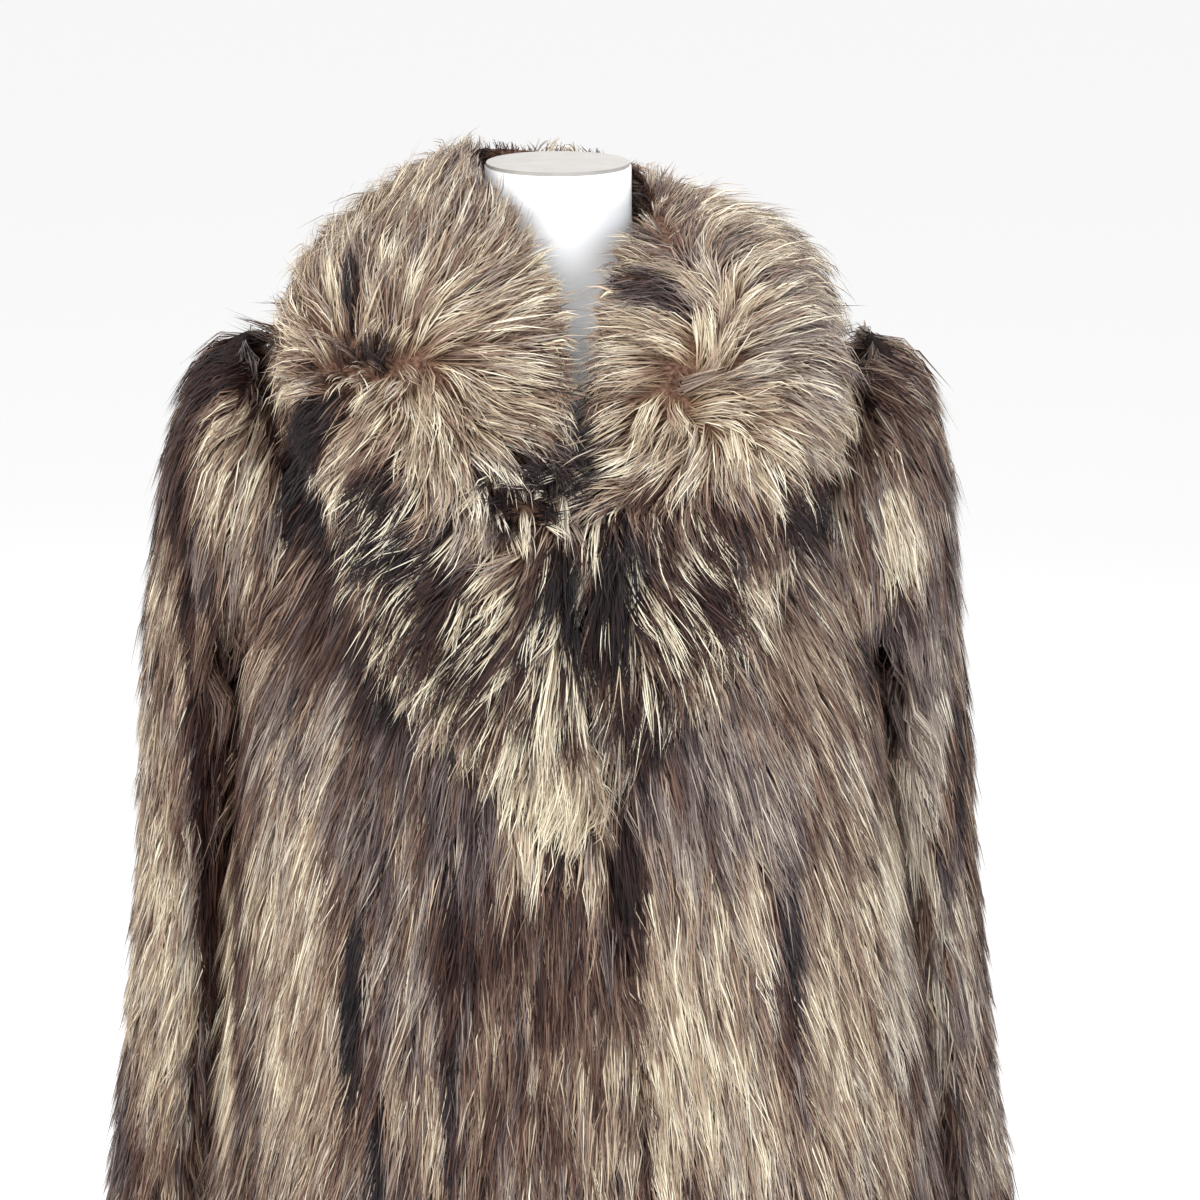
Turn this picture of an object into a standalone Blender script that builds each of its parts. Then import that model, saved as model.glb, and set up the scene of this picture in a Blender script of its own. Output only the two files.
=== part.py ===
"""A fox fur coat with a deep shawl collar, standing on a limbless dress form.

Metres, +Z up. The front faces -Y, and +X is to the right seen from the front.
The origin is the middle of the stand's foot, on the floor.

The coat is a lofted wall. Its inner side is plain, and its outer side reaches as far as the fur does, with
the long pelt strips standing out as soft ridges between furrows. A place on the body of the coat is an
angle and a height: angle 0 is the +X side, -90 the centre front, 90 the centre back and 180 the -X side.
"""

import bmesh
import bpy
import numpy as np

# Driving sizes
NECK_TOP = 1.500
CAP_THICKNESS = 0.0025
FORM_BOTTOM = 0.700
POLE_RADIUS = 0.0125
FOOT_RADIUS = 0.190
FOOT_THICKNESS = 0.012
BOSS_RADIUS = 0.030
BOSS_TOP = 0.052

HEM = 0.330
UNDERARM = 1.140
SHOULDER_POINT = 1.338
NECKLINE_BACK = 1.400
NECKLINE_FRONT = 1.322
ARMHOLE_HALF_ANGLE = 36.0

FUR_WALL = 0.026  # pelt and fur, on a ridge
PRESSED_WALL = 0.013  # the same, flattened between the sleeve and the body
UNDERLAP_WALL = 0.010  # the same, under the front that laps over
SLEEVE_WALL = 0.017
PRESSED_SLEEVE_WALL = 0.010  # where the sleeve hangs against the body
FURROW = 0.009  # how far a furrow lies below the ridges beside it
SLEEVE_FURROW = 0.006
FRONT_LAP = 0.065  # how far one front reaches under the other
LAP_TOP = 1.20
LAP_CLEARANCE = 0.0022
SEAM_GAP = 0.0003
COLLAR_SEAT = 0.0022  # the collar's underside over the fur it lies on
SHOULDER_SEAT = 0.0032  # how much more it stands off where it turns over the shoulder
TIP_SEAT = 0.0003
COLLAR_MEETING = 0.0005  # half of the gap between the two halves of the collar in front
FORM_SEAT = 0.0022  # the form's shoulders under the inside of the coat
FORM_BACK_SEAT = 0.0035  # how much farther behind

SECTION_POWER = 2.5  # 2 is an ellipse, more is squarer
SLEEVE_POWER = 2.1
NIP_ANGLE = 12.0  # the sleeves press the sides in, a little behind the middle
NIP_SPREAD = 30.0
PRESSED_SPREAD = 36.0


class Table:
    """Rows of named columns, read smoothly at any value of the first column."""

    def __init__(self, columns, rows):
        self.columns = columns
        self.rows = np.array(sorted(rows), float)

    def read(self, key, column):
        keys = self.rows[:, 0]
        values = self.rows[:, self.columns.index(column)]
        steps = np.diff(keys)
        slopes = np.diff(values) / steps
        same_way = slopes[:-1] * slopes[1:] > 0
        total = np.where(same_way, slopes[:-1] + slopes[1:], 1.0)
        tangents = np.empty(len(keys))
        tangents[1:-1] = np.where(same_way, 2 * slopes[:-1] * slopes[1:] / total, 0.0)
        tangents[0], tangents[-1] = slopes[0], slopes[-1]
        key = np.clip(np.asarray(key, float), keys[0], keys[-1])
        row = np.clip(np.searchsorted(keys, key, side="right") - 1, 0, len(steps) - 1)
        t = (key - keys[row]) / steps[row]
        return (
            (1 + 2 * t) * (1 - t) ** 2 * values[row]
            + t * (1 - t) ** 2 * steps[row] * tangents[row]
            + t * t * (3 - 2 * t) * values[row + 1]
            + t * t * (t - 1) * steps[row] * tangents[row + 1]
        )


# The inside of the coat, hem to neck. The shift carries the whole section towards +X, and the nip is how far
# the +X sleeve presses that side in. The other sleeve presses in a share of it.
COAT = Table(
    ("height", "half_width", "front", "back", "shift", "nip"),
    (
        (0.330, 0.346, 0.232, 0.214, 0.014, 0.000),
        (0.500, 0.324, 0.218, 0.200, 0.014, 0.010),
        (0.580, 0.313, 0.212, 0.194, 0.014, 0.036),
        (0.660, 0.303, 0.206, 0.188, 0.014, 0.050),
        (0.790, 0.285, 0.196, 0.179, 0.014, 0.052),
        (0.874, 0.272, 0.189, 0.173, 0.011, 0.044),
        (1.020, 0.247, 0.174, 0.162, 0.003, 0.026),
        (1.100, 0.233, 0.165, 0.154, 0.000, 0.016),
        (1.160, 0.224, 0.158, 0.148, 0.000, 0.005),
        (1.210, 0.214, 0.150, 0.141, 0.000, 0.000),
        (1.270, 0.203, 0.137, 0.130, 0.000, 0.000),
        (1.320, 0.194, 0.118, 0.114, 0.000, 0.000),
        (1.345, 0.184, 0.104, 0.104, 0.000, 0.000),
        (1.362, 0.166, 0.094, 0.097, 0.000, 0.000),
        (1.376, 0.139, 0.085, 0.090, 0.000, 0.000),
        (1.388, 0.109, 0.078, 0.084, 0.000, 0.000),
        (1.400, 0.080, 0.072, 0.078, 0.000, 0.000),
    ),
)
OTHER_NIP = 0.80

# The dress form up to its shoulders, and its neck. Between them it follows the inside of the coat.
FORM_TORSO = Table(
    ("height", "half_width", "front", "back"),
    (
        (0.700, 0.156, 0.104, 0.110),
        (0.780, 0.170, 0.108, 0.122),
        (0.870, 0.152, 0.101, 0.108),
        (0.960, 0.122, 0.092, 0.086),
        (1.050, 0.134, 0.104, 0.092),
        (1.130, 0.148, 0.117, 0.099),
        (1.210, 0.156, 0.112, 0.103),
        (1.280, 0.164, 0.102, 0.101),
        (1.318, 0.171, 0.098, 0.099),
    ),
)
FORM_NECK = Table(
    ("height", "half_width", "front", "back"),
    (
        (1.400, 0.0710, 0.0630, 0.0680),
        (1.414, 0.0610, 0.0575, 0.0600),
        (1.440, 0.0550, 0.0545, 0.0550),
        (1.500, 0.0540, 0.0540, 0.0540),
    ),
)

# The front edges meet on this line, which leans towards +X as it falls.
FRONT_EDGE = Table(
    ("height", "x"),
    ((0.330, 0.072), (0.800, 0.066), (0.930, 0.052), (1.100, 0.030), (1.220, 0.018), (1.400, 0.016)),
)

# One hanging sleeve. Each ring runs from its point nearest the body to its point farthest from it.
SLEEVE_COLUMNS = ("ring", "near_x", "near_z", "far_x", "far_z", "half_depth", "middle_y")
SLEEVES = {
    "right": (
        (2, 0.2530, 1.128, 0.227, 1.380, 0.099, 0.000),
        (3, 0.2505, 1.112, 0.250, 1.374, 0.096, 0.002),
        (4, 0.2485, 1.092, 0.273, 1.348, 0.092, 0.006),
        (5, 0.2460, 1.062, 0.290, 1.304, 0.088, 0.010),
        (6, 0.2450, 1.022, 0.300, 1.240, 0.083, 0.016),
        (7, 0.2480, 0.970, 0.307, 1.160, 0.078, 0.024),
        (8, 0.2535, 0.910, 0.320, 1.060, 0.074, 0.030),
        (9, 0.2600, 0.850, 0.330, 0.950, 0.071, 0.034),
        (10, 0.2710, 0.785, 0.342, 0.845, 0.069, 0.034),
        (11, 0.2860, 0.715, 0.356, 0.740, 0.067, 0.032),
        (12, 0.3010, 0.640, 0.371, 0.640, 0.066, 0.030),
    ),
    "left": (
        (2, 0.2530, 1.128, 0.227, 1.380, 0.099, 0.000),
        (3, 0.2505, 1.112, 0.250, 1.374, 0.096, 0.000),
        (4, 0.2485, 1.092, 0.274, 1.348, 0.092, 0.000),
        (5, 0.2450, 1.062, 0.292, 1.304, 0.088, 0.001),
        (6, 0.2450, 1.022, 0.304, 1.240, 0.083, 0.002),
        (7, 0.2470, 0.970, 0.316, 1.160, 0.078, 0.004),
        (8, 0.2470, 0.910, 0.325, 1.060, 0.075, 0.005),
        (9, 0.2520, 0.850, 0.332, 0.950, 0.073, 0.005),
        (10, 0.2600, 0.785, 0.344, 0.845, 0.071, 0.004),
        (11, 0.2720, 0.715, 0.359, 0.740, 0.070, 0.002),
        (12, 0.2860, 0.640, 0.371, 0.640, 0.069, 0.000),
    ),
}
SLEEVE_STRIPS = 6

# Where each pelt strip ends, as a share of its panel from the front edge, or of half the back.
STRIPS = {
    "right": (0.0, 0.24, 0.45, 0.70, 1.0),
    "left": (0.0, 0.18, 0.38, 0.64, 1.0),
    "back": (0.0, 0.24, 0.48, 0.74, 1.0),
}

# One half of the collar, from the centre back round the neck and down the front edge. Its inner edge is on
# the neckline and then the front edge, its outer edge lies on the body. The top is where the stand turns over
# into the fall, as far as the front of the neck. The rises are heights over the body, and the fold is how far
# the slit between stand and fall reaches up.
COLLAR_COLUMNS = (
    "station", "inner_angle", "inner_height", "outer_angle", "outer_height",
    "top_x", "top_y", "top_z", "rise_inner", "rise_middle", "rise_edge", "fold",
)
COLLARS = {
    "left": (
        (0.00, 90.0, 1.400, 90.0, 1.215, 0.000, 0.070, 1.500, 0.078, 0.046, 0.026, 0.034),
        (0.11, 60.0, 1.400, 65.0, 1.232, -0.037, 0.064, 1.503, 0.082, 0.048, 0.028, 0.034),
        (0.22, 30.0, 1.400, 38.0, 1.308, -0.063, 0.036, 1.508, 0.088, 0.047, 0.022, 0.034),
        (0.32, 0.0, 1.400, 0.0, 1.376, -0.070, -0.006, 1.510, 0.090, 0.046, 0.018, 0.034),
        (0.42, -32.0, 1.392, -32.0, 1.346, -0.047, -0.056, 1.486, 0.080, 0.054, 0.024, 0.034),
        (0.52, -62.0, 1.362, -42.0, 1.312, -0.015, -0.086, 1.448, 0.062, 0.068, 0.034, 0.034),
        (0.62, -80.0, 1.330, -56.0, 1.268, 0.004, -0.124, 1.392, 0.050, 0.064, 0.034, 0.018),
        (0.74, -90.0, 1.250, -67.0, 1.200, 0.010, -0.190, 1.280, 0.042, 0.050, 0.030, 0.004),
        (0.87, -90.0, 1.160, -78.0, 1.130, 0.010, -0.210, 1.170, 0.032, 0.036, 0.022, 0.002),
        (1.00, -90.0, 1.060, -91.5, 1.056, 0.010, -0.220, 1.060, 0.012, 0.013, 0.010, 0.002),
    ),
    "right": (
        (0.00, 90.0, 1.400, 90.0, 1.215, 0.000, 0.070, 1.500, 0.078, 0.046, 0.026, 0.034),
        (0.11, 60.0, 1.400, 65.0, 1.232, 0.037, 0.063, 1.497, 0.078, 0.048, 0.028, 0.034),
        (0.22, 30.0, 1.400, 38.0, 1.308, 0.062, 0.036, 1.488, 0.074, 0.048, 0.024, 0.034),
        (0.32, 0.0, 1.400, 0.0, 1.375, 0.070, -0.006, 1.466, 0.056, 0.044, 0.020, 0.034),
        (0.42, -32.0, 1.392, -31.0, 1.344, 0.060, -0.054, 1.456, 0.054, 0.052, 0.026, 0.034),
        (0.52, -62.0, 1.362, -38.0, 1.308, 0.043, -0.088, 1.440, 0.054, 0.070, 0.036, 0.030),
        (0.62, -80.0, 1.330, -50.0, 1.262, 0.028, -0.124, 1.386, 0.048, 0.066, 0.036, 0.018),
        (0.74, -90.0, 1.250, -63.0, 1.208, 0.026, -0.190, 1.280, 0.040, 0.048, 0.030, 0.004),
        (0.87, -90.0, 1.180, -74.0, 1.158, 0.026, -0.210, 1.190, 0.028, 0.032, 0.022, 0.002),
        (1.00, -90.0, 1.110, -82.0, 1.104, 0.030, -0.220, 1.110, 0.012, 0.013, 0.010, 0.002),
    ),
}
TOP_ENDS = (0.62, 0.74)  # the stand shrinks into the flat lapel between these stations
COLLAR_UNDERSIDE = (0.86, 0.70, 0.54)
FOLD_SHARE = 0.28
FOLD_WIDTH = 0.0012
COLLAR_ARCH_STEPS = (1, 2, 3, 3, 1, 1)

# Mesh steps
LOW_SHARE = 0.56  # of a panel's rows are below the underarm
# Share of the rows, height at the front edge or at the centre back
FRONT_ROWS = ((0.0, HEM), (LOW_SHARE, 1.124), (0.72, NECKLINE_FRONT))
BACK_ROWS = ((0.0, HEM), (LOW_SHARE, 1.124), (0.69, 1.330), (0.84, NECKLINE_BACK))
LOW_ROWS = 12
ARMHOLE_STEPS = 11
STEPS_IN_STRIP = (0.0, 0.16, 0.5, 0.84)
COLLAR_STATIONS = 30
FORM_STEPS = 36


# ---------------------------------------------------------------- the body's surface


def smoothstep(low, high, value):
    t = np.clip((np.asarray(value, float) - low) / (high - low), 0.0, 1.0)
    return t * t * (3 - 2 * t)


def powered(value, power):
    return np.sign(value) * np.abs(value) ** (2 / power)


def ring(angle, half_width, front, back):
    """A point of a squared ring: angle 0 is +X, -90 the front and 90 the back."""
    turn = np.radians(angle)
    depth = np.where(np.sin(turn) < 0, front, back)
    return half_width * powered(np.cos(turn), SECTION_POWER), depth * powered(np.sin(turn), SECTION_POWER)


def beside_sleeve(angle, spread):
    """1 where the middle of a hanging sleeve presses on the body, fading to 0 round it."""
    from_side = np.degrees(np.arcsin(np.clip(np.sin(np.radians(angle)), -1, 1)))
    return np.exp(-(((from_side - NIP_ANGLE) / spread) ** 2))


def inside_point(angle, height):
    """A point on the inside of the coat's body."""
    angle, height = np.broadcast_arrays(np.asarray(angle, float), np.asarray(height, float))
    x, y = ring(angle, *(COAT.read(height, name) for name in ("half_width", "front", "back")))
    side = np.cos(np.radians(angle))
    nip = COAT.read(height, "nip") * beside_sleeve(angle, NIP_SPREAD) * np.where(side > 0, 1.0, OTHER_NIP)
    x = x + COAT.read(height, "shift") - np.sign(side) * nip * smoothstep(0.0, 0.4, np.abs(side))
    return np.stack([x, y, height], -1)


def outward(angle, height):
    """The outward direction of the body's surface."""
    angle, height = np.broadcast_arrays(np.asarray(angle, float), np.asarray(height, float))
    around = inside_point(angle + 1.5, height) - inside_point(angle - 1.5, height)
    low = np.clip(height - 0.004, HEM, NECKLINE_BACK)
    high = np.clip(height + 0.004, HEM, NECKLINE_BACK)
    up = inside_point(angle, high) - inside_point(angle, low)
    normal = np.cross(around, up)
    return normal / np.linalg.norm(normal, axis=-1, keepdims=True)


ARC_ANGLES = np.linspace(-200, 200, 4001)
ARC_LENGTHS = np.concatenate(
    [[0], np.cumsum(np.hypot(*(np.diff(part) for part in ring(ARC_ANGLES, 0.25, 0.18, 0.17))))]
)


def arc_of_angle(angle):
    """The length round an average section up to this angle, so that strips are as wide as they read."""
    return np.interp(angle, ARC_ANGLES, ARC_LENGTHS)


def angle_of_arc(arc):
    return np.interp(arc, ARC_LENGTHS, ARC_ANGLES)


def angle_of_x(x, height):
    """The angle at which the front of the body has this x."""
    x = np.asarray(x, float) - COAT.read(height, "shift")
    share = np.clip(np.abs(x) / COAT.read(height, "half_width"), 0, 1) ** (SECTION_POWER / 2)
    return -90 + np.sign(x) * np.degrees(np.arcsin(share))


def seam_angle(height, which):
    """The angle that leaves half of a seam's gap beside the side line."""
    share = 0.5 * SEAM_GAP / COAT.read(height, which)
    return np.degrees(np.arcsin(share ** (SECTION_POWER / 2)))


# ---------------------------------------------------------------- building solids


def closed_wall(name, sheets, material):
    """A solid between matching inner and outer grids. Grids that share an edge grow together along it."""
    index, inner, outer, faces = {}, [], [], []
    for inner_grid, outer_grid in sheets:
        keys = np.empty(inner_grid.shape[:2], int)
        for place in np.ndindex(*keys.shape):
            key = tuple(np.round(np.concatenate([inner_grid[place], outer_grid[place]]), 6))
            if key not in index:
                index[key] = len(inner)
                inner.append(inner_grid[place])
                outer.append(outer_grid[place])
            keys[place] = index[key]
        for i in range(keys.shape[0] - 1):
            for j in range(keys.shape[1] - 1):
                corners = (keys[i, j], keys[i + 1, j], keys[i + 1, j + 1], keys[i, j + 1])
                faces.append(tuple(dict.fromkeys(int(c) for c in corners)))
    edges = {}
    for face in faces:
        for a, b in zip(face, face[1:] + face[:1]):
            edges.setdefault(frozenset((a, b)), []).append((a, b))
    rim = [uses[0] for uses in edges.values() if len(uses) == 1]

    mesh = bmesh.new()
    low = [mesh.verts.new(point) for point in inner]
    high = [mesh.verts.new(point) for point in outer]
    for face in faces:
        mesh.faces.new([high[c] for c in face])
        mesh.faces.new([low[c] for c in reversed(face)])
    for ends in rim:  # split the same way on both sides of a seam
        a, b = sorted(ends, key=lambda end: outer[end][2])
        mesh.faces.new([high[a], high[b], low[a]])
        mesh.faces.new([high[b], low[b], low[a]])
    return finish_solid(name, mesh, material)


def solid_loft(name, rings, material):
    """A solid through closed rings of equal count, with a face at each end."""
    mesh = bmesh.new()
    rows = [[mesh.verts.new(point) for point in ring_points] for ring_points in rings]
    for row, following in zip(rows[:-1], rows[1:]):
        for i in range(len(row)):
            j = (i + 1) % len(row)
            mesh.faces.new([row[i], row[j], following[j], following[i]])
    mesh.faces.new(list(reversed(rows[0])))
    mesh.faces.new(rows[-1])
    return finish_solid(name, mesh, material)


def finish_solid(name, mesh, material):
    bmesh.ops.triangulate(mesh, faces=mesh.faces[:], quad_method="SHORT_EDGE", ngon_method="BEAUTY")
    bmesh.ops.recalc_face_normals(mesh, faces=mesh.faces[:])
    data = bpy.data.meshes.new(name)
    mesh.to_mesh(data)
    mesh.free()
    solid = bpy.data.objects.new(name, data)
    return keep(solid, material)


def keep(solid, material):
    solid.data.materials.clear()
    solid.data.materials.append(material)
    for other in solid.users_collection:
        other.objects.unlink(solid)
    PART.objects.link(solid)
    return solid


def make_material(name, colour, roughness, metallic=0.0):
    material = bpy.data.materials.new(name)
    material.use_nodes = True
    shader = material.node_tree.nodes["Principled BSDF"]
    shader.inputs["Base Color"].default_value = (*colour, 1.0)
    shader.inputs["Roughness"].default_value = roughness
    shader.inputs["Metallic"].default_value = metallic
    return material


# ---------------------------------------------------------------- panels of the body


def armhole(turns, side_angle, direction, inset=0.0):
    """Points on the armhole's edge: turn 0 is the underarm, 180 the shoulder point."""
    middle = (UNDERARM + SHOULDER_POINT) / 2
    half = (SHOULDER_POINT - UNDERARM) / 2 - inset
    reach = ARMHOLE_HALF_ANGLE - np.degrees(inset / 0.17)
    turns = np.radians(np.asarray(turns, float))
    return np.stack([side_angle + direction * reach * np.sin(turns), middle - half * np.cos(turns)], -1)


ARMHOLE_TURNS = np.linspace(0, 180, ARMHOLE_STEPS + 1)
PANEL_ROWS = np.concatenate(
    [
        [0.0, 0.012],
        np.linspace(0.05, LOW_SHARE, LOW_ROWS - 1)[:-1],
        LOW_SHARE + (1 - LOW_SHARE) * ARMHOLE_TURNS / 180,
    ]
)


def side_edge(side_angle, direction, which):
    """A panel's edge from the hem up the side seam and round its half of the armhole."""
    heights = HEM + (UNDERARM - HEM) * PANEL_ROWS[PANEL_ROWS < LOW_SHARE - 1e-9] / LOW_SHARE
    seam = np.stack([np.full(len(heights), float(side_angle)), heights], -1)
    edge = np.concatenate([seam, armhole(ARMHOLE_TURNS, side_angle, direction)])
    edge[:, 0] += direction * seam_angle(edge[:, 1], which)
    return edge


def neck_edge(angle_at, rows, end_angle):
    """A panel's edge up its front edge or centre line, then round the neckline to the shoulder seam."""
    low = np.interp(PANEL_ROWS, *np.transpose(rows))
    share, top = rows[-1]
    turns = np.radians(90 * np.clip((PANEL_ROWS - share) / (1 - share), 0, 1))
    start = angle_at(low)
    angle = start + (end_angle - start) * np.sin(turns)
    return np.stack([angle, low + (NECKLINE_BACK - top) * (1 - np.cos(turns))], -1)


def columns_of(strips):
    """Where the mesh's columns run: one in each furrow, one on each ridge and one on each flank."""
    spans = zip(strips[:-1], strips[1:])
    found = [low + (high - low) * step for low, high in spans for step in STEPS_IN_STRIP]
    return np.array(found + [strips[-1]])


def furrows(across, strips):
    """0 on a ridge and 1 in the furrow at the end of each strip."""
    strip = np.clip(np.searchsorted(strips, across, side="right") - 1, 0, len(strips) - 2)
    strips = np.array(strips)
    t = (across - strips[strip]) / (strips[strip + 1] - strips[strip])
    return (2 * t - 1) ** 4


def hem_share(height):
    """The fur thins a little where it ends at the hem."""
    return 0.7 + 0.3 * smoothstep(HEM, HEM + 0.02, height)


def panel(inner_edge, outer_edge, strips):
    """Places (angle, height) between two edges, and the depth of the fur at each."""
    across = columns_of(strips)
    u = across[:, None, None]
    ends = [np.stack([arc_of_angle(edge[:, 0]), edge[:, 1]], -1)[None] for edge in (inner_edge, outer_edge)]
    places = (1 - u) * ends[0] + u * ends[1]
    places[..., 0] = angle_of_arc(places[..., 0])
    places[:1], places[-1:] = inner_edge[None], outer_edge[None]
    angle, height = places[..., 0], places[..., 1]
    open_fur = 1 - smoothstep(1.00, 1.14, height)
    ridge = FUR_WALL - FURROW * furrows(across, strips)[:, None] * open_fur
    flat = beside_sleeve(angle, PRESSED_SPREAD) * smoothstep(0.50, 0.62, height)
    flat = flat * (1 - smoothstep(1.08, 1.17, height))
    return places, (ridge * (1 - flat) + PRESSED_WALL * flat) * hem_share(height)


def wall_grids(places, depth):
    inner = inside_point(places[..., 0], places[..., 1])
    return inner, inner + outward(places[..., 0], places[..., 1]) * depth[..., None]


def make_front(name, side, material):
    """One front. side is 1 for +X, which laps under, or -1, which laps over."""
    side_angle, direction = (0.0, -1.0) if side > 0 else (-180.0, 1.0)
    end_angle = side_angle + direction * seam_angle(NECKLINE_BACK, "front")
    inner_edge = neck_edge(
        lambda height: angle_of_x(FRONT_EDGE.read(height, "x") + side * 0.5 * SEAM_GAP, height),
        FRONT_ROWS,
        end_angle,
    )
    places, depth = panel(inner_edge, side_edge(side_angle, direction, "front"), STRIPS[name])
    inner, outer = wall_grids(places, depth)
    angle, height = places[..., 0], places[..., 1]
    if side < 0:  # the inner side steps out over the front that laps under it
        past_edge = np.abs(inner[..., 0] - FRONT_EDGE.read(height, "x"))
        step = 1 - smoothstep(FRONT_LAP + 0.012, FRONT_LAP + 0.034, past_edge)
        step = step * (1 - smoothstep(LAP_TOP + 0.07, LAP_TOP + 0.12, height))
        step = step * (UNDERLAP_WALL + LAP_CLEARANCE) * hem_share(height)
        inner = inner + outward(angle, height) * step[..., None]
        return closed_wall("front_" + name, [(inner, outer)], material)
    rows = height[0] < LAP_TOP
    at, x = height[0][rows], FRONT_EDGE.read(height[0][rows], "x")
    lap = [x - FRONT_LAP * share for share in (1.0, 0.66, 0.33)] + [x + 0.15 * SEAM_GAP]
    thick = UNDERLAP_WALL * hem_share(at)
    lap_grids = [wall_grids(np.stack([angle_of_x(lap_x, at), at], -1), thick) for lap_x in lap]
    lap_inner = np.array([grid[0] for grid in lap_grids] + [inner[0][rows]])
    lap_outer = np.array([grid[1] for grid in lap_grids] + [outer[0][rows]])
    return closed_wall("front_" + name, [(inner, outer), (lap_inner, lap_outer)], material)


def make_back(material):
    sheets = []
    for side_angle, direction in ((0.0, 1.0), (180.0, -1.0)):
        end_angle = side_angle + direction * seam_angle(NECKLINE_BACK, "back")
        centre = np.full(len(PANEL_ROWS), 90.0)
        inner_edge = neck_edge(lambda height: centre, BACK_ROWS, end_angle)
        places, depth = panel(inner_edge, side_edge(side_angle, direction, "back"), STRIPS["back"])
        sheets.append(wall_grids(places, depth))
    return closed_wall("back", sheets, material)


# ---------------------------------------------------------------- sleeves


def make_sleeve(name, material):
    side_angle, mirror = (0.0, 1.0) if name == "right" else (180.0, -1.0)
    table = Table(SLEEVE_COLUMNS, SLEEVES[name])
    turns = np.concatenate([ARMHOLE_TURNS, 360 - ARMHOLE_TURNS[-2::-1]])  # over the front, then the back
    front = turns <= 180
    half_turns = np.where(front, turns, 360 - turns)
    direction = np.where(front, -1.0, 1.0) * mirror
    edge = armhole(half_turns, side_angle, direction, inset=0.0005)
    foot = inside_point(edge[:, 0], edge[:, 1])
    normal = outward(edge[:, 0], edge[:, 1])
    angle, height = edge[:, 0], edge[:, 1]
    flat = beside_sleeve(angle, PRESSED_SPREAD) * (1 - smoothstep(1.08, 1.17, height))
    rim = foot + normal * (FUR_WALL * (1 - flat) + PRESSED_WALL * flat)[:, None]
    into = inside_point(side_angle, (UNDERARM + SHOULDER_POINT) / 2) - foot
    into = into / np.linalg.norm(into, axis=-1, keepdims=True)
    under = 0.1 + 0.9 * (1 + np.cos(np.radians(half_turns))) / 2

    outer = [rim, rim + normal * 0.004 + into * 0.0012]
    c = powered(np.cos(np.radians(turns)), SLEEVE_POWER)
    s = powered(np.sin(np.radians(turns)), SLEEVE_POWER)
    strips = np.linspace(0, 360, SLEEVE_STRIPS + 1)
    for row in table.rows:
        _, near_x, near_z, far_x, far_z, half_depth, middle_y = row
        x = (near_x + far_x) / 2 - (far_x - near_x) / 2 * c
        z = (near_z + far_z) / 2 - (far_z - near_z) / 2 * c
        outer.append(np.stack([mirror * x, middle_y - half_depth * s, z], -1))
    outer = np.array(outer)

    before, after = outer.copy(), outer.copy()
    before[1:], after[:-1] = outer[:-1], outer[1:]
    around = np.roll(outer[:, :-1], -1, axis=1) - np.roll(outer[:, :-1], 1, axis=1)
    around = np.concatenate([around, around[:, :1]], axis=1)
    facing = np.cross(around, after - before)
    facing = facing / np.linalg.norm(facing, axis=-1, keepdims=True)
    centre = outer[:, :-1].mean(axis=1, keepdims=True)
    facing = facing * np.sign(np.sum(facing[5:] * (outer - centre)[5:]))
    near = (1 + np.cos(np.radians(turns))) / 2
    thick = SLEEVE_WALL - (SLEEVE_WALL - PRESSED_SLEEVE_WALL) * near ** 2
    inner = outer - facing * thick[None, :, None]
    inner[0] = foot
    inner[1] = foot + into * (0.020 * under)[:, None] + normal * 0.012
    groove = furrows(np.clip(turns, 0, 359.99), strips) * SLEEVE_FURROW * (1 - near)
    fade = smoothstep(3, 6, np.arange(len(outer)))[:, None, None]
    outer = outer - facing * groove[None, :, None] * fade
    outer[:, -1], inner[:, -1] = outer[:, 0], inner[:, 0]
    return closed_wall("sleeve_" + name, [(inner, outer)], material)


# ---------------------------------------------------------------- collar


def smooth_line(through, steps):
    """Points along a smooth line through these ones, with this many steps in each of its spans."""
    ends = np.concatenate([through[:1], through, through[-1:]])
    points = []
    for span, count in enumerate(steps):
        before, start, end, after = ends[span : span + 4]
        for t in np.arange(count) / count:
            points.append(
                start
                + 0.5 * t * (end - before)
                + 0.5 * t * t * (2 * before - 5 * start + 4 * end - after)
                + 0.5 * t ** 3 * (3 * start - before - 3 * end + after)
            )
    return points + [through[-1]]


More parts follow.
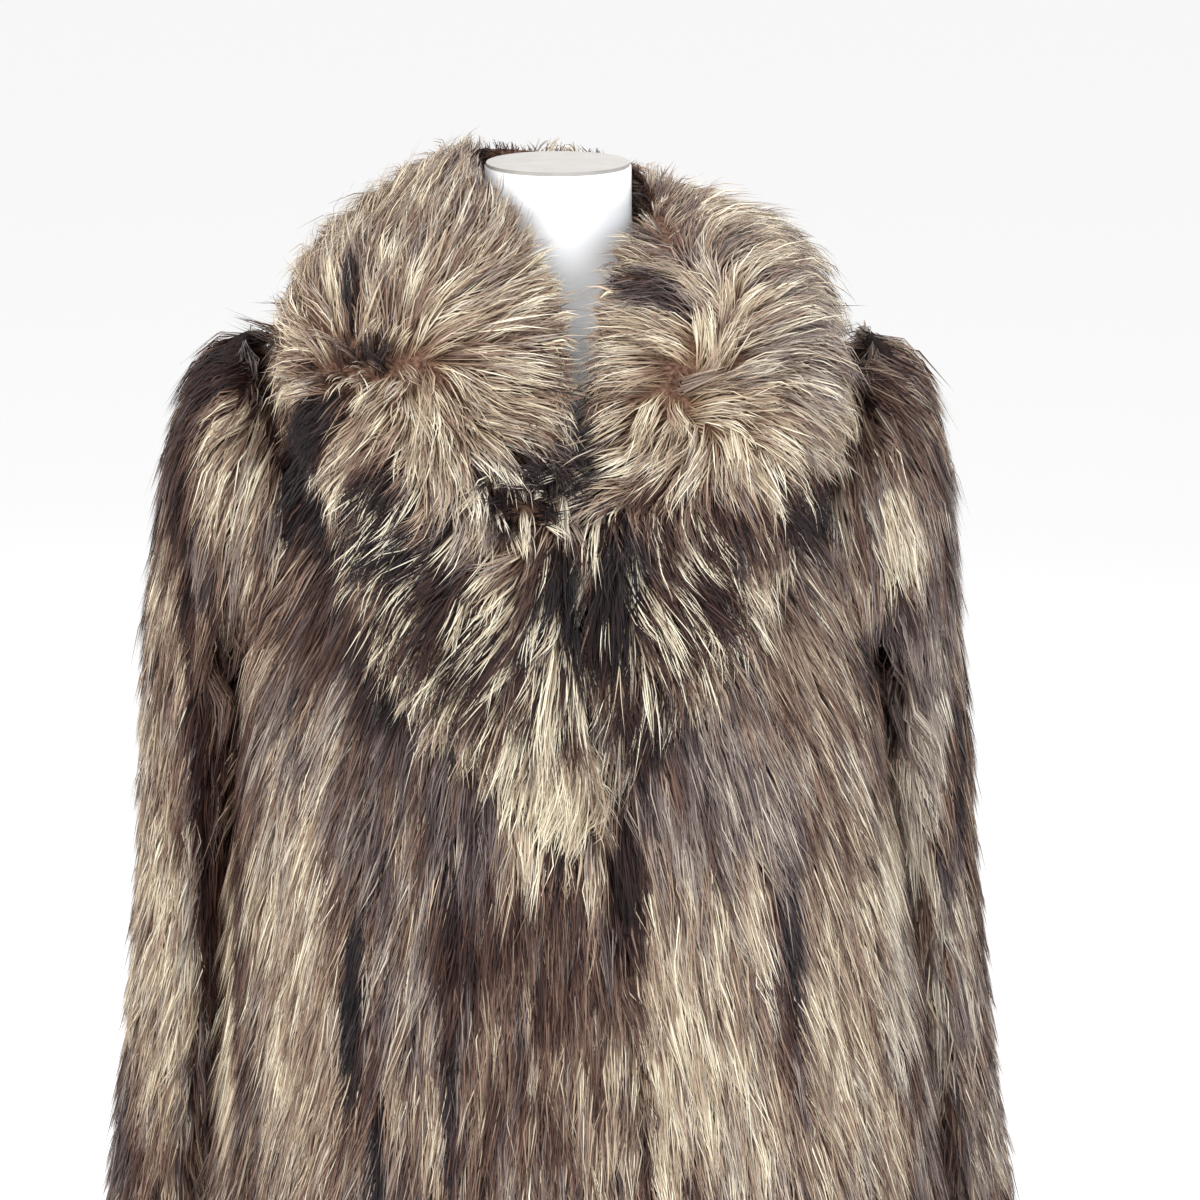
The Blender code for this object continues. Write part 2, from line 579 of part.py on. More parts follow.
def make_collar(name, material):
    """Half of the shawl collar: a stand round the neck that folds over into a fall lying on the body."""
    table = Table(COLLAR_COLUMNS, COLLARS[name])
    mirror = 1.0 if name == "right" else -1.0
    rings = []
    for station in np.linspace(0, 1, COLLAR_STATIONS):
        row = {column: float(table.read(station, column)) for column in COLLAR_COLUMNS}
        on_shoulder = smoothstep(0.12, 0.22, station) * (1 - smoothstep(0.40, 0.52, station))
        seat = COLLAR_SEAT + SHOULDER_SEAT * on_shoulder
        seat += (TIP_SEAT - COLLAR_SEAT) * smoothstep(0.85, 1.0, station)

        def base(share):
            height = row["inner_height"] + (row["outer_height"] - row["inner_height"]) * share
            angle = row["inner_angle"] + (row["outer_angle"] - row["inner_angle"]) * share
            if mirror < 0:
                angle = 180 - angle
            along_edge = float(smoothstep(0.62, 0.74, station)) * (1 - share)
            if along_edge > 0:  # the inner edge follows the front edge
                edge_x = float(FRONT_EDGE.read(height, "x")) + mirror * (0.5 * SEAM_GAP + 0.0008)
                edge_angle = float(angle_of_x(edge_x, height)) + (360 if mirror < 0 else 0)
                angle += (edge_angle - angle) * along_edge
            normal = outward(angle, height)
            return inside_point(angle, height) + normal * (FUR_WALL + seat), normal

        inner_foot, inner_up = base(0.0)
        middle, middle_up = base(0.5)
        edge, edge_up = base(1.0)
        top = np.array([row["top_x"], row["top_y"], row["top_z"]])
        top += (inner_foot + inner_up * row["rise_inner"] - top) * smoothstep(*TOP_ENDS, station)
        through = np.array(
            [
                inner_foot,
                inner_foot * 0.45 + top * 0.55,
                top,
                middle + middle_up * row["rise_middle"],
                edge + edge_up * row["rise_edge"],
                edge + (edge - middle) * 0.10 + edge_up * row["rise_edge"] * 0.40,
                edge,
            ]
        )
        points = smooth_line(through, COLLAR_ARCH_STEPS)
        for share in COLLAR_UNDERSIDE:
            points.append(base(share)[0])
        foot, rise = base(FOLD_SHARE)
        inner_bottom = base(0.14)[0]
        over, _ = base(FOLD_SHARE + 0.01)
        sideways = (over - foot) / np.linalg.norm(over - foot) * FOLD_WIDTH / 2
        points += [foot + sideways, foot + rise * row["fold"] + sideways * 0.8]
        points += [foot + rise * row["fold"] - sideways * 0.8, foot - sideways]
        ring_points = np.array(points + [inner_bottom])
        if station > 0.55:  # the two halves meet on the front edge
            limit = FRONT_EDGE.read(ring_points[:, 2], "x") + mirror * COLLAR_MEETING
            ring_points[:, 0] = mirror * np.maximum(mirror * ring_points[:, 0], mirror * limit)
        rings.append(ring_points)
    rings = np.array(rings)
    rings[0][:, 0] = 0.5 * SEAM_GAP * mirror
    if mirror < 0:
        rings = rings[:, ::-1]
    return solid_loft("collar_" + name, rings, material)


# ---------------------------------------------------------------- dress form and stand


def form_ring(height, half_width, front, back):
    angles = np.arange(FORM_STEPS) * 360 / FORM_STEPS
    x, y = ring(angles, half_width, front, back)
    return np.stack([x, y, np.full(len(angles), height)], -1)


def make_form(material):
    rings = []
    for height in np.array([0.700, 0.704, 0.74, 0.78, 0.82, 0.87, 0.915, 0.96, 1.005, 1.05, 1.09, 1.13, 1.17,
                            1.21, 1.25, 1.28, 1.30]):
        row = [float(FORM_TORSO.read(height, name)) for name in ("half_width", "front", "back")]
        shrink = 0.006 if height == 0.700 else 0.0
        rings.append(form_ring(height, *(value - shrink for value in row)))
    angles = np.arange(FORM_STEPS) * 360 / FORM_STEPS
    for height in (1.330, 1.345, 1.355, 1.365, 1.375, 1.383, 1.390):
        at = inside_point(angles, height)
        seat = FORM_SEAT + FORM_BACK_SEAT * np.clip(3 * np.sin(np.radians(angles)), 0, 1)
        rings.append(at - outward(angles, height) * seat[:, None])
    for height in (1.401, 1.412, 1.426, 1.445, 1.470, NECK_TOP - CAP_THICKNESS - 0.0002):
        row = [float(FORM_NECK.read(height, name)) for name in ("half_width", "front", "back")]
        round_neck = np.radians(angles)
        x = row[0] * np.cos(round_neck)
        y = np.where(np.sin(round_neck) < 0, row[1], row[2]) * np.sin(round_neck)
        rings.append(np.stack([x, y, np.full(len(angles), height)], -1))
    return solid_loft("dress_form", rings, material)


def cylinder(name, radius, low, high, material, vertices=48, bevel=0.0):
    bpy.ops.mesh.primitive_cylinder_add(
        vertices=vertices, radius=radius, depth=high - low, location=(0, 0, (low + high) / 2)
    )
    solid = bpy.context.object
    solid.name = solid.data.name = name
    if bevel:
        modifier = solid.modifiers.new("Rounded rims", "BEVEL")
        modifier.width, modifier.segments, modifier.limit_method = bevel, 2, "ANGLE"
        modifier.angle_limit = 0.7
    return keep(solid, material)


def make_foot(material):
    """A flat round plate with a short boss that grips the pole."""
    profile = (
        (0.0, 0.0), (FOOT_RADIUS - 0.0015, 0.0), (FOOT_RADIUS, 0.0015),
        (FOOT_RADIUS, FOOT_THICKNESS - 0.004), (FOOT_RADIUS - 0.004, FOOT_THICKNESS),
        (BOSS_RADIUS + 0.006, FOOT_THICKNESS + 0.002), (BOSS_RADIUS, FOOT_THICKNESS + 0.008),
        (BOSS_RADIUS - 0.004, BOSS_TOP - 0.003), (BOSS_RADIUS - 0.007, BOSS_TOP), (0.0, BOSS_TOP),
    )
    mesh = bmesh.new()
    verts = [mesh.verts.new((x, 0.0, z)) for x, z in profile]
    edges = [mesh.edges.new(pair) for pair in zip(verts[:-1], verts[1:])]
    bmesh.ops.spin(mesh, geom=verts + edges, cent=(0, 0, 0), axis=(0, 0, 1), angle=2 * np.pi, steps=64,
                   use_merge=True)
    bmesh.ops.remove_doubles(mesh, verts=mesh.verts[:], dist=1e-6)
    return finish_solid("foot", mesh, material)


for leftover in list(bpy.data.objects):
    bpy.data.objects.remove(leftover, do_unlink=True)
PART = bpy.data.collections.new("fur_coat_on_dress_form")
bpy.context.scene.collection.children.link(PART)

fur = make_material("brown fox fur", (0.16, 0.10, 0.075), 0.9)
collar_fur = make_material("banded fox fur", (0.42, 0.34, 0.25), 0.9)
white_gloss = make_material("white gloss plastic", (0.86, 0.87, 0.89), 0.18)
cap_grey = make_material("grey cap", (0.55, 0.53, 0.50), 0.55)
steel = make_material("brushed steel", (0.60, 0.60, 0.61), 0.32, 1.0)
white_paint = make_material("white painted metal", (0.84, 0.84, 0.84), 0.35)

make_front("right", 1, fur)
make_front("left", -1, fur)
make_back(fur)
make_sleeve("right", fur)
make_sleeve("left", fur)
make_collar("right", collar_fur)
make_collar("left", collar_fur)
make_form(white_gloss)
cylinder("neck_cap", 0.0528, NECK_TOP - CAP_THICKNESS, NECK_TOP, cap_grey, vertices=48)
cylinder("pole", POLE_RADIUS, BOSS_TOP + 0.0002, FORM_BOTTOM - 0.0002, steel, vertices=32)
make_foot(white_paint)
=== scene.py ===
import itertools
import math

import bmesh
import bpy
import numpy as np
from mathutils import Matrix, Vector
from mathutils.bvhtree import BVHTree
from mathutils.kdtree import KDTree


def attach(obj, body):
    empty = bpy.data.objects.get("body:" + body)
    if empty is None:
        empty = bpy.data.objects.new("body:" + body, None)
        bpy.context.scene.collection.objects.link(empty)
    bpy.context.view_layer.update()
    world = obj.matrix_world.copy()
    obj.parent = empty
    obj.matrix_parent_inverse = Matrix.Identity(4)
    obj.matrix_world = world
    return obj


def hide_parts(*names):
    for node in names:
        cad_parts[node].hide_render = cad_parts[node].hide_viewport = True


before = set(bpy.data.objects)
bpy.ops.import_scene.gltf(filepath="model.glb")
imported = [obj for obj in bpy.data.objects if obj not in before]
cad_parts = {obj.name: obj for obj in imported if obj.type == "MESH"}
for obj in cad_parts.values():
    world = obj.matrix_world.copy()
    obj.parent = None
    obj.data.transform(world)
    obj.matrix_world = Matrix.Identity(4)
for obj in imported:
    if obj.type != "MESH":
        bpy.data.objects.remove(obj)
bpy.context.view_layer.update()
scene = bpy.context.scene
up = np.array((0.0, 0.0, 1.0))
noiseCells = 24


# Directions, soft steps and smooth noise

def unit(vectors):
    return vectors / np.maximum(np.linalg.norm(vectors, axis=-1, keepdims=True), 1e-9)


def ease(low, high, value):
    share = np.clip((value - low) / (high - low), 0, 1)
    return share * share * (3 - 2 * share)


def onSurface(vectors, normals):
    return unit(vectors - normals * np.sum(vectors * normals, axis=-1, keepdims=True))


def softNoise(points, cell, seed):
    # smooth random values from 0 to 1, one cell being the size of a patch along x, y and z
    grid = np.random.default_rng(seed).random((noiseCells,) * 3)
    place = points / np.array(cell)
    base = np.floor(place).astype(int)
    inside = place - base
    inside = inside * inside * (3 - 2 * inside)
    total = np.zeros(len(points))
    for corner in itertools.product((0, 1), repeat=3):
        sides = np.where(corner, inside, 1 - inside)
        x, y, z = ((base + corner) % noiseCells).T
        total += sides[:, 0] * sides[:, 1] * sides[:, 2] * grid[x, y, z]
    return total


def sRgb(red, green, blue):
    shares = [c / 255 for c in (red, green, blue)]
    return tuple(c / 12.92 if c <= 0.04045 else ((c + 0.055) / 1.055) ** 2.4 for c in shares) + (1.0,)


def placed(name, data):
    obj = bpy.data.objects.new(name, data)
    scene.collection.objects.link(obj)
    return obj


def chooseOnly(obj):
    bpy.ops.object.select_all(action="DESELECT")
    obj.select_set(True)
    bpy.context.view_layer.objects.active = obj


# Materials

def newMaterial(name):
    material = bpy.data.materials.new(name)
    material.use_nodes = True
    nodes = material.node_tree.nodes
    nodes.clear()
    surface = nodes.new("ShaderNodeBsdfPrincipled")
    output = nodes.new("ShaderNodeOutputMaterial")
    material.node_tree.links.new(surface.outputs["BSDF"], output.inputs["Surface"])
    return material, nodes, material.node_tree.links, surface


def newGroup(name, inputs, outputs):
    group = bpy.data.node_groups.new(name, "ShaderNodeTree")
    for way, sockets in (("INPUT", inputs), ("OUTPUT", outputs)):
        for kind, names in sockets.items():
            for socket in names:
                group.interface.new_socket(socket, in_out=way, socket_type="NodeSocket" + kind)
    return group, group.nodes.new("NodeGroupInput"), group.nodes.new("NodeGroupOutput")


def placeGroup(nodes, group, values):
    node = nodes.new("ShaderNodeGroup")
    node.node_tree = group
    for socket, value in values.items():
        node.inputs[socket].default_value = value
    return node


hairColours = {
    # place on the ramp, red, green, blue: warm browns up to 0.5, cool greys above it
    "warmBlack": (0.00, 20, 11, 14), "burgundy": (0.08, 44, 26, 25), "darkBrown": (0.17, 74, 50, 42),
    "brown": (0.25, 110, 84, 73), "lightBrown": (0.33, 150, 126, 109), "tan": (0.41, 195, 176, 151),
    "cream": (0.495, 247, 239, 214),
    "coolBlack": (0.505, 12, 10, 14), "darkViolet": (0.60, 50, 40, 42), "violetGrey": (0.70, 96, 82, 81),
    "taupe": (0.80, 140, 125, 118), "silver": (0.90, 192, 179, 164), "paleCream": (1.0, 244, 236, 215),
}


def hairToneGroup():
    # colour from the hair's own map: U is its tone and V runs from root to tip
    # the root tint darkens the hair's base: partly its own darker base, partly painted shade deep in the fur
    inputs = {"Vector": ["Hair Map"], "Color": ["Root Tint", "Tip Tint"], "Float": ["Root Length", "Tip Start"]}
    group, given, result = newGroup("hairTone", inputs, {"Color": ["Color"]})
    nodes, links = group.nodes, group.links
    split = nodes.new("ShaderNodeSeparateXYZ")
    links.new(given.outputs["Hair Map"], split.inputs[0])
    ramp = nodes.new("ShaderNodeValToRGB")
    stops = ramp.color_ramp.elements
    while len(stops) > 1:
        stops.remove(stops[-1])
    for index, (place, *colour) in enumerate(hairColours.values()):
        stop = stops[0] if index == 0 else stops.new(place)
        stop.position = place
        stop.color = sRgb(*colour)
    links.new(split.outputs["X"], ramp.inputs["Fac"])
    colour = ramp.outputs["Color"]
    for end, start, stop in (("Root", None, "Root Length"), ("Tip", "Tip Start", None)):
        reached = nodes.new("ShaderNodeMapRange")
        reached.interpolation_type = "SMOOTHSTEP"
        links.new(split.outputs["Y"], reached.inputs["Value"])
        if start:
            links.new(given.outputs[start], reached.inputs["From Min"])
        if stop:
            links.new(given.outputs[stop], reached.inputs["From Max"])
        tint = nodes.new("ShaderNodeMix")
        tint.data_type = "RGBA"
        links.new(reached.outputs["Result"], tint.inputs["Factor"])
        # inputs 6 and 7 are the two colours of a mix of colours, and output 2 is its result
        tinted, plain = (6, 7) if end == "Root" else (7, 6)
        links.new(given.outputs[end + " Tint"], tint.inputs[tinted])
        tint.inputs[plain].default_value = (1, 1, 1, 1)
        product = nodes.new("ShaderNodeMix")
        product.data_type, product.blend_type = "RGBA", "MULTIPLY"
        product.inputs["Factor"].default_value = 1
        links.new(colour, product.inputs[6])
        links.new(tint.outputs[2], product.inputs[7])
        colour = product.outputs[2]
    links.new(colour, result.inputs["Color"])
    return group


hairTone = hairToneGroup()


def hairMaterial(name, roughness, gloss, tints):
    material, nodes, links, surface = newMaterial(name)
    hairMap = nodes.new("ShaderNodeUVMap")
    hairMap.uv_map = "OFBake"
    tone = placeGroup(nodes, hairTone, tints)
    links.new(hairMap.outputs["UV"], tone.inputs["Hair Map"])
    links.new(tone.outputs["Color"], surface.inputs["Base Color"])
    surface.inputs["Roughness"].default_value = roughness
    surface.inputs["Specular IOR Level"].default_value = gloss
    return material


# root tints: partly darker hair bases, partly painted shade deep in the fur
bodyHair = hairMaterial("long silky fox hair", roughness=0.44, gloss=0.22, tints={
    "Root Tint": (0.34, 0.28, 0.26, 1), "Tip Tint": (0.55, 0.52, 0.52, 1), "Root Length": 0.5, "Tip Start": 0.76,
})
collarHair = hairMaterial("banded fox hair", roughness=0.5, gloss=0.25, tints={
    "Root Tint": (0.50, 0.38, 0.31, 1), "Tip Tint": (0.12, 0.11, 0.12, 1), "Root Length": 0.5, "Tip Start": 0.74,
})


def speckleGroup():
    # fine noise on Object coordinates, and the colour that it gives between a low and a high tone
    inputs = {"Float": ["Grain", "Detail", "Start", "End"], "Color": ["Low", "High"]}
    group, given, result = newGroup("speckle", inputs, {"Color": ["Color"], "Float": ["Speckle"]})
    nodes, links = group.nodes, group.links
    where = nodes.new("ShaderNodeTexCoord")
    noise = nodes.new("ShaderNodeTexNoise")
    links.new(where.outputs["Object"], noise.inputs["Vector"])
    links.new(given.outputs["Grain"], noise.inputs["Scale"])
    links.new(given.outputs["Detail"], noise.inputs["Detail"])
    share = nodes.new("ShaderNodeMapRange")
    links.new(noise.outputs["Fac"], share.inputs["Value"])
    links.new(given.outputs["Start"], share.inputs["From Min"])
    links.new(given.outputs["End"], share.inputs["From Max"])
    tint = nodes.new("ShaderNodeMix")
    tint.data_type = "RGBA"
    links.new(share.outputs["Result"], tint.inputs["Factor"])
    links.new(given.outputs["Low"], tint.inputs[6])
    links.new(given.outputs["High"], tint.inputs[7])
    links.new(tint.outputs[2], result.inputs["Color"])
    links.new(noise.outputs["Fac"], result.inputs["Speckle"])
    return group


speckleNodes = speckleGroup()


def speckled(nodes, links, surface, settings):
    # the speckle colours the surface and raises it a little
    start, end = settings["spread"]
    speckle = placeGroup(nodes, speckleNodes, {
        "Grain": settings["grain"], "Detail": settings["detail"], "Start": start, "End": end,
        "Low": sRgb(*settings["low"]), "High": sRgb(*settings["high"]),
    })
    links.new(speckle.outputs["Color"], surface.inputs["Base Color"])
    relief = nodes.new("ShaderNodeBump")
    relief.inputs["Distance"].default_value = settings["height"]
    relief.inputs["Strength"].default_value = settings["relief"]
    links.new(speckle.outputs["Speckle"], relief.inputs["Height"])
    links.new(relief.outputs["Normal"], surface.inputs["Normal"])
    return speckle


wool = {"grain": 260, "detail": 5, "spread": (0.35, 0.72), "height": 0.0015, "relief": 0.8}


def underfurMaterial(name, low, high):
    material, nodes, links, surface = newMaterial(name)
    speckled(nodes, links, surface, dict(wool, low=low, high=high))
    surface.inputs["Roughness"].default_value = 0.95
    surface.inputs["Specular IOR Level"].default_value = 0.1
    return material


bodyUnderfur = underfurMaterial("dense underfur", (16, 10, 12), (52, 38, 34))
collarUnderfur = underfurMaterial("pale underfur", (72, 50, 42), (140, 108, 90))
hardFinish = {"detail": 4, "spread": (0.3, 0.7), "height": 0.0003}
wear = 0.05


def plainMaterial(name, settings):
    # a hard finish with slight marbling in colour and roughness
    material, nodes, links, surface = newMaterial(name)
    cloud = speckled(nodes, links, surface, dict(hardFinish, **settings))
    worn = nodes.new("ShaderNodeMapRange")
    worn.inputs["To Min"].default_value = settings["roughness"] - wear
    worn.inputs["To Max"].default_value = settings["roughness"] + wear
    links.new(cloud.outputs["Speckle"], worn.inputs["Value"])
    links.new(worn.outputs["Result"], surface.inputs["Roughness"])
    surface.inputs["Metallic"].default_value = settings.get("metal", 0)
    surface.inputs["Coat Weight"].default_value = settings.get("coat", 0)
    surface.inputs["Coat Roughness"].default_value = 0.12
    return material


print("materials made")


# The dress form: each hard piece is a smoothed copy of its solid

hardPieces = {
    "dressForm": {
        "node": "dress_form", "slot": "form_white", "angle": 50,
        "low": (238, 240, 243), "high": (246, 247, 249),
        "grain": 8, "roughness": 0.24, "coat": 0.5, "relief": 0.15,
    },
    "neckCap": {
        "node": "neck_cap", "slot": "cap_grey", "angle": 30,
        "low": (158, 154, 149), "high": (172, 168, 163),
        "grain": 60, "roughness": 0.6, "relief": 0.3,
    },
    "standPole": {
        "node": "pole", "slot": "pole_steel", "angle": 30,
        "low": (150, 150, 152), "high": (176, 176, 178),
        "grain": 120, "roughness": 0.32, "metal": 1.0, "relief": 0.3,
    },
    "standFoot": {
        "node": "foot", "slot": "foot_paint", "angle": 30,
        "low": (224, 224, 224), "high": (236, 236, 236),
        "grain": 90, "roughness": 0.4, "relief": 0.25,
    },
}
weldDistance = 0.00001  # the solids are loose triangles


def smoothedCopy(name, settings):
    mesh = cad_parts[settings["node"]].data.copy()
    obj = placed(name, mesh)
    chooseOnly(obj)
    bpy.ops.object.mode_set(mode="EDIT")
    bpy.ops.mesh.select_all(action="SELECT")
    bpy.ops.mesh.remove_doubles(threshold=weldDistance)
    bpy.ops.mesh.tris_convert_to_quads()
    bpy.ops.object.mode_set(mode="OBJECT")
    bpy.ops.object.shade_smooth_by_angle(angle=math.radians(settings["angle"]))
    mesh.materials.clear()
    mesh.materials.append(plainMaterial(name + " finish", settings))
    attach(obj, "root")
    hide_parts(settings["node"])


for pieceName, settings in hardPieces.items():
    smoothedCopy(pieceName, settings)
print("dress form finished")


# Pelts: the furred faces of each solid, found by where they point, drawn in under the hair

pelts = {
    # flat is the cut of what shows, width and length in metres
    "peltFrontLeft": {"node": "front_left", "flat": (0.46, 1.02)},
    "peltFrontRight": {"node": "front_right", "flat": (0.42, 1.02)},
    "peltBack": {"node": "back", "flat": (0.90, 1.06)},
    "peltSleeveLeft": {"node": "sleeve_left", "flat": (0.40, 0.68)},
    "peltSleeveRight": {"node": "sleeve_right", "flat": (0.40, 0.68)},
    "peltCollarLeft": {"node": "collar_left", "flat": (0.30, 0.66)},
    "peltCollarRight": {"node": "collar_right", "flat": (0.28, 0.64)},
}
coatNodes = [settings["node"] for settings in pelts.values()]


def mergedMesh(node):
    shape = bmesh.new()
    shape.from_mesh(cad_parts[node].data)
    bmesh.ops.remove_doubles(shape, verts=shape.verts, dist=weldDistance)
    bmesh.ops.triangulate(shape, faces=shape.faces)
    points = np.array([v.co for v in shape.verts])
    corners = np.array([[v.index for v in f.verts] for f in shape.faces])
    shape.free()
    return points, corners


shapes = {node: mergedMesh(node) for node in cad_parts}


def faceNormals(points, corners):
    a, b, c = (points[corners[:, n]] for n in range(3))
    cross = np.cross(b - a, c - a)
    return unit(cross), np.linalg.norm(cross, axis=1) / 2


def treeOf(nodes):
    points, corners, start = [], [], 0
    for node in nodes:
        points.append(shapes[node][0])
        corners.append(shapes[node][1] + start)
        start += len(shapes[node][0])
    points, corners = np.concatenate(points), np.concatenate(corners)
    return BVHTree.FromPolygons(points.tolist(), corners.tolist())


everything = treeOf(shapes)
formTree = treeOf(["dress_form"])


def reach(tree, starts, directions, limit):
    found = np.full(len(starts), limit)
    for index, (start, direction) in enumerate(zip(starts.tolist(), directions.tolist())):
        hit = tree.ray_cast(start, direction, limit)
        if hit[0] is not None:
            found[index] = hit[3]
    return found


rays = {
    # how far from the surface a ray starts, and how far it looks
    "offFace": 0.0004, "openAir": 0.2, "intoWall": 0.001, "thickWall": 0.06,
    "offRoot": 0.0006, "nearRoot": 0.08,
}
sleeveTube = {"cuff": 0.66, "armpit": 1.16, "top": 1.19, "step": 0.04, "ringHeight": 0.035}
bodyTube = {"width": 0.09, "depth": 0.04, "shoulders": 1.1}
peltRules = {
    "collarRoom": 0.010, "bodyRoom": 0.001,  # free air that a furred face has before it
    "outward": 0.02,  # how far a furred face of the body turns outwards, as a cosine
    "wallShare": 0.45, "deepest": 0.012,  # how far the pelt is drawn in under the fur
    "thickness": 0.0016,
}


def outwardOf(node, points):
    # which way is out of the garment at each point: from a sleeve's middle line, or from the body's axis
    if node.startswith("sleeve"):
        own = shapes[node][0]
        levels = np.arange(sleeveTube["cuff"], sleeveTube["top"], sleeveTube["step"])
        rings = [own[np.abs(own[:, 2] - level) < sleeveTube["ringHeight"]] for level in levels]
        middles = np.array([(ring.min(0) + ring.max(0)) / 2 for ring in rings])
        height = np.clip(points[:, 2], sleeveTube["cuff"], sleeveTube["armpit"])
        middle = np.stack([np.interp(height, levels, middles[:, n]) for n in (0, 1)] + [height], axis=1)
        return unit(points - middle)
    aside = points * (1 / bodyTube["width"], 1 / bodyTube["depth"], 0)
    return unit(aside + up * np.clip(points[:, 2:] - bodyTube["shoulders"], 0, 1) / bodyTube["depth"])


def furredSkin(node):
    points, corners = shapes[node]
    normals, areas = faceNormals(points, corners)
    centres = points[corners].mean(axis=1)
    free = reach(everything, centres + normals * rays["offFace"], normals, rays["openAir"])
    if node.startswith("collar"):
        furred = free > peltRules["collarRoom"]
    else:
        outward = np.sum(normals * outwardOf(node, centres), axis=1)
        furred = (outward > peltRules["outward"]) & (free > peltRules["bodyRoom"])
    corners, normals, areas = corners[furred], normals[furred], areas[furred]
    pointNormals = np.zeros_like(points)
    for n in range(3):
        np.add.at(pointNormals, corners[:, n], normals * areas[:, None])
    pointNormals = unit(pointNormals)
    used, corners = np.unique(corners, return_inverse=True)
    corners = corners.reshape(-1, 3)
    points, pointNormals = points[used], pointNormals[used]
    inside = points - pointNormals * rays["intoWall"]
    wall = reach(treeOf([node]), inside, -pointNormals, rays["thickWall"])
    return {
        "points": points, "corners": corners, "normals": pointNormals, "areas": areas,
        "depth": np.minimum(peltRules["wallShare"] * wall, peltRules["deepest"]),
        "tree": BVHTree.FromPolygons(points.tolist(), corners.tolist()),
    }


skins = {node: furredSkin(node) for node in coatNodes}
print("furred faces found")


def makePelt(name, node, slot):
    skin = skins[node]
    mesh = bpy.data.meshes.new(name)
    places = skin["points"] - skin["normals"] * skin["depth"][:, None]
    mesh.from_pydata(places.tolist(), [], skin["corners"].tolist())
    mesh.materials.append(collarUnderfur if slot == "collar_fur" else bodyUnderfur)
    mesh.polygons.foreach_set("use_smooth", [True] * len(mesh.polygons))
    obj = placed(name, mesh)
    chooseOnly(obj)
    skinSide = obj.modifiers.new("skin side", "SOLIDIFY")
    skinSide.thickness, skinSide.offset = peltRules["thickness"], -1
    bpy.ops.object.modifier_apply(modifier=skinSide.name)
    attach(obj, "root")
    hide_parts(node)
    return obj


# Fur: every hair is a narrow tapered strip, and neighbouring hairs are drawn together in locks

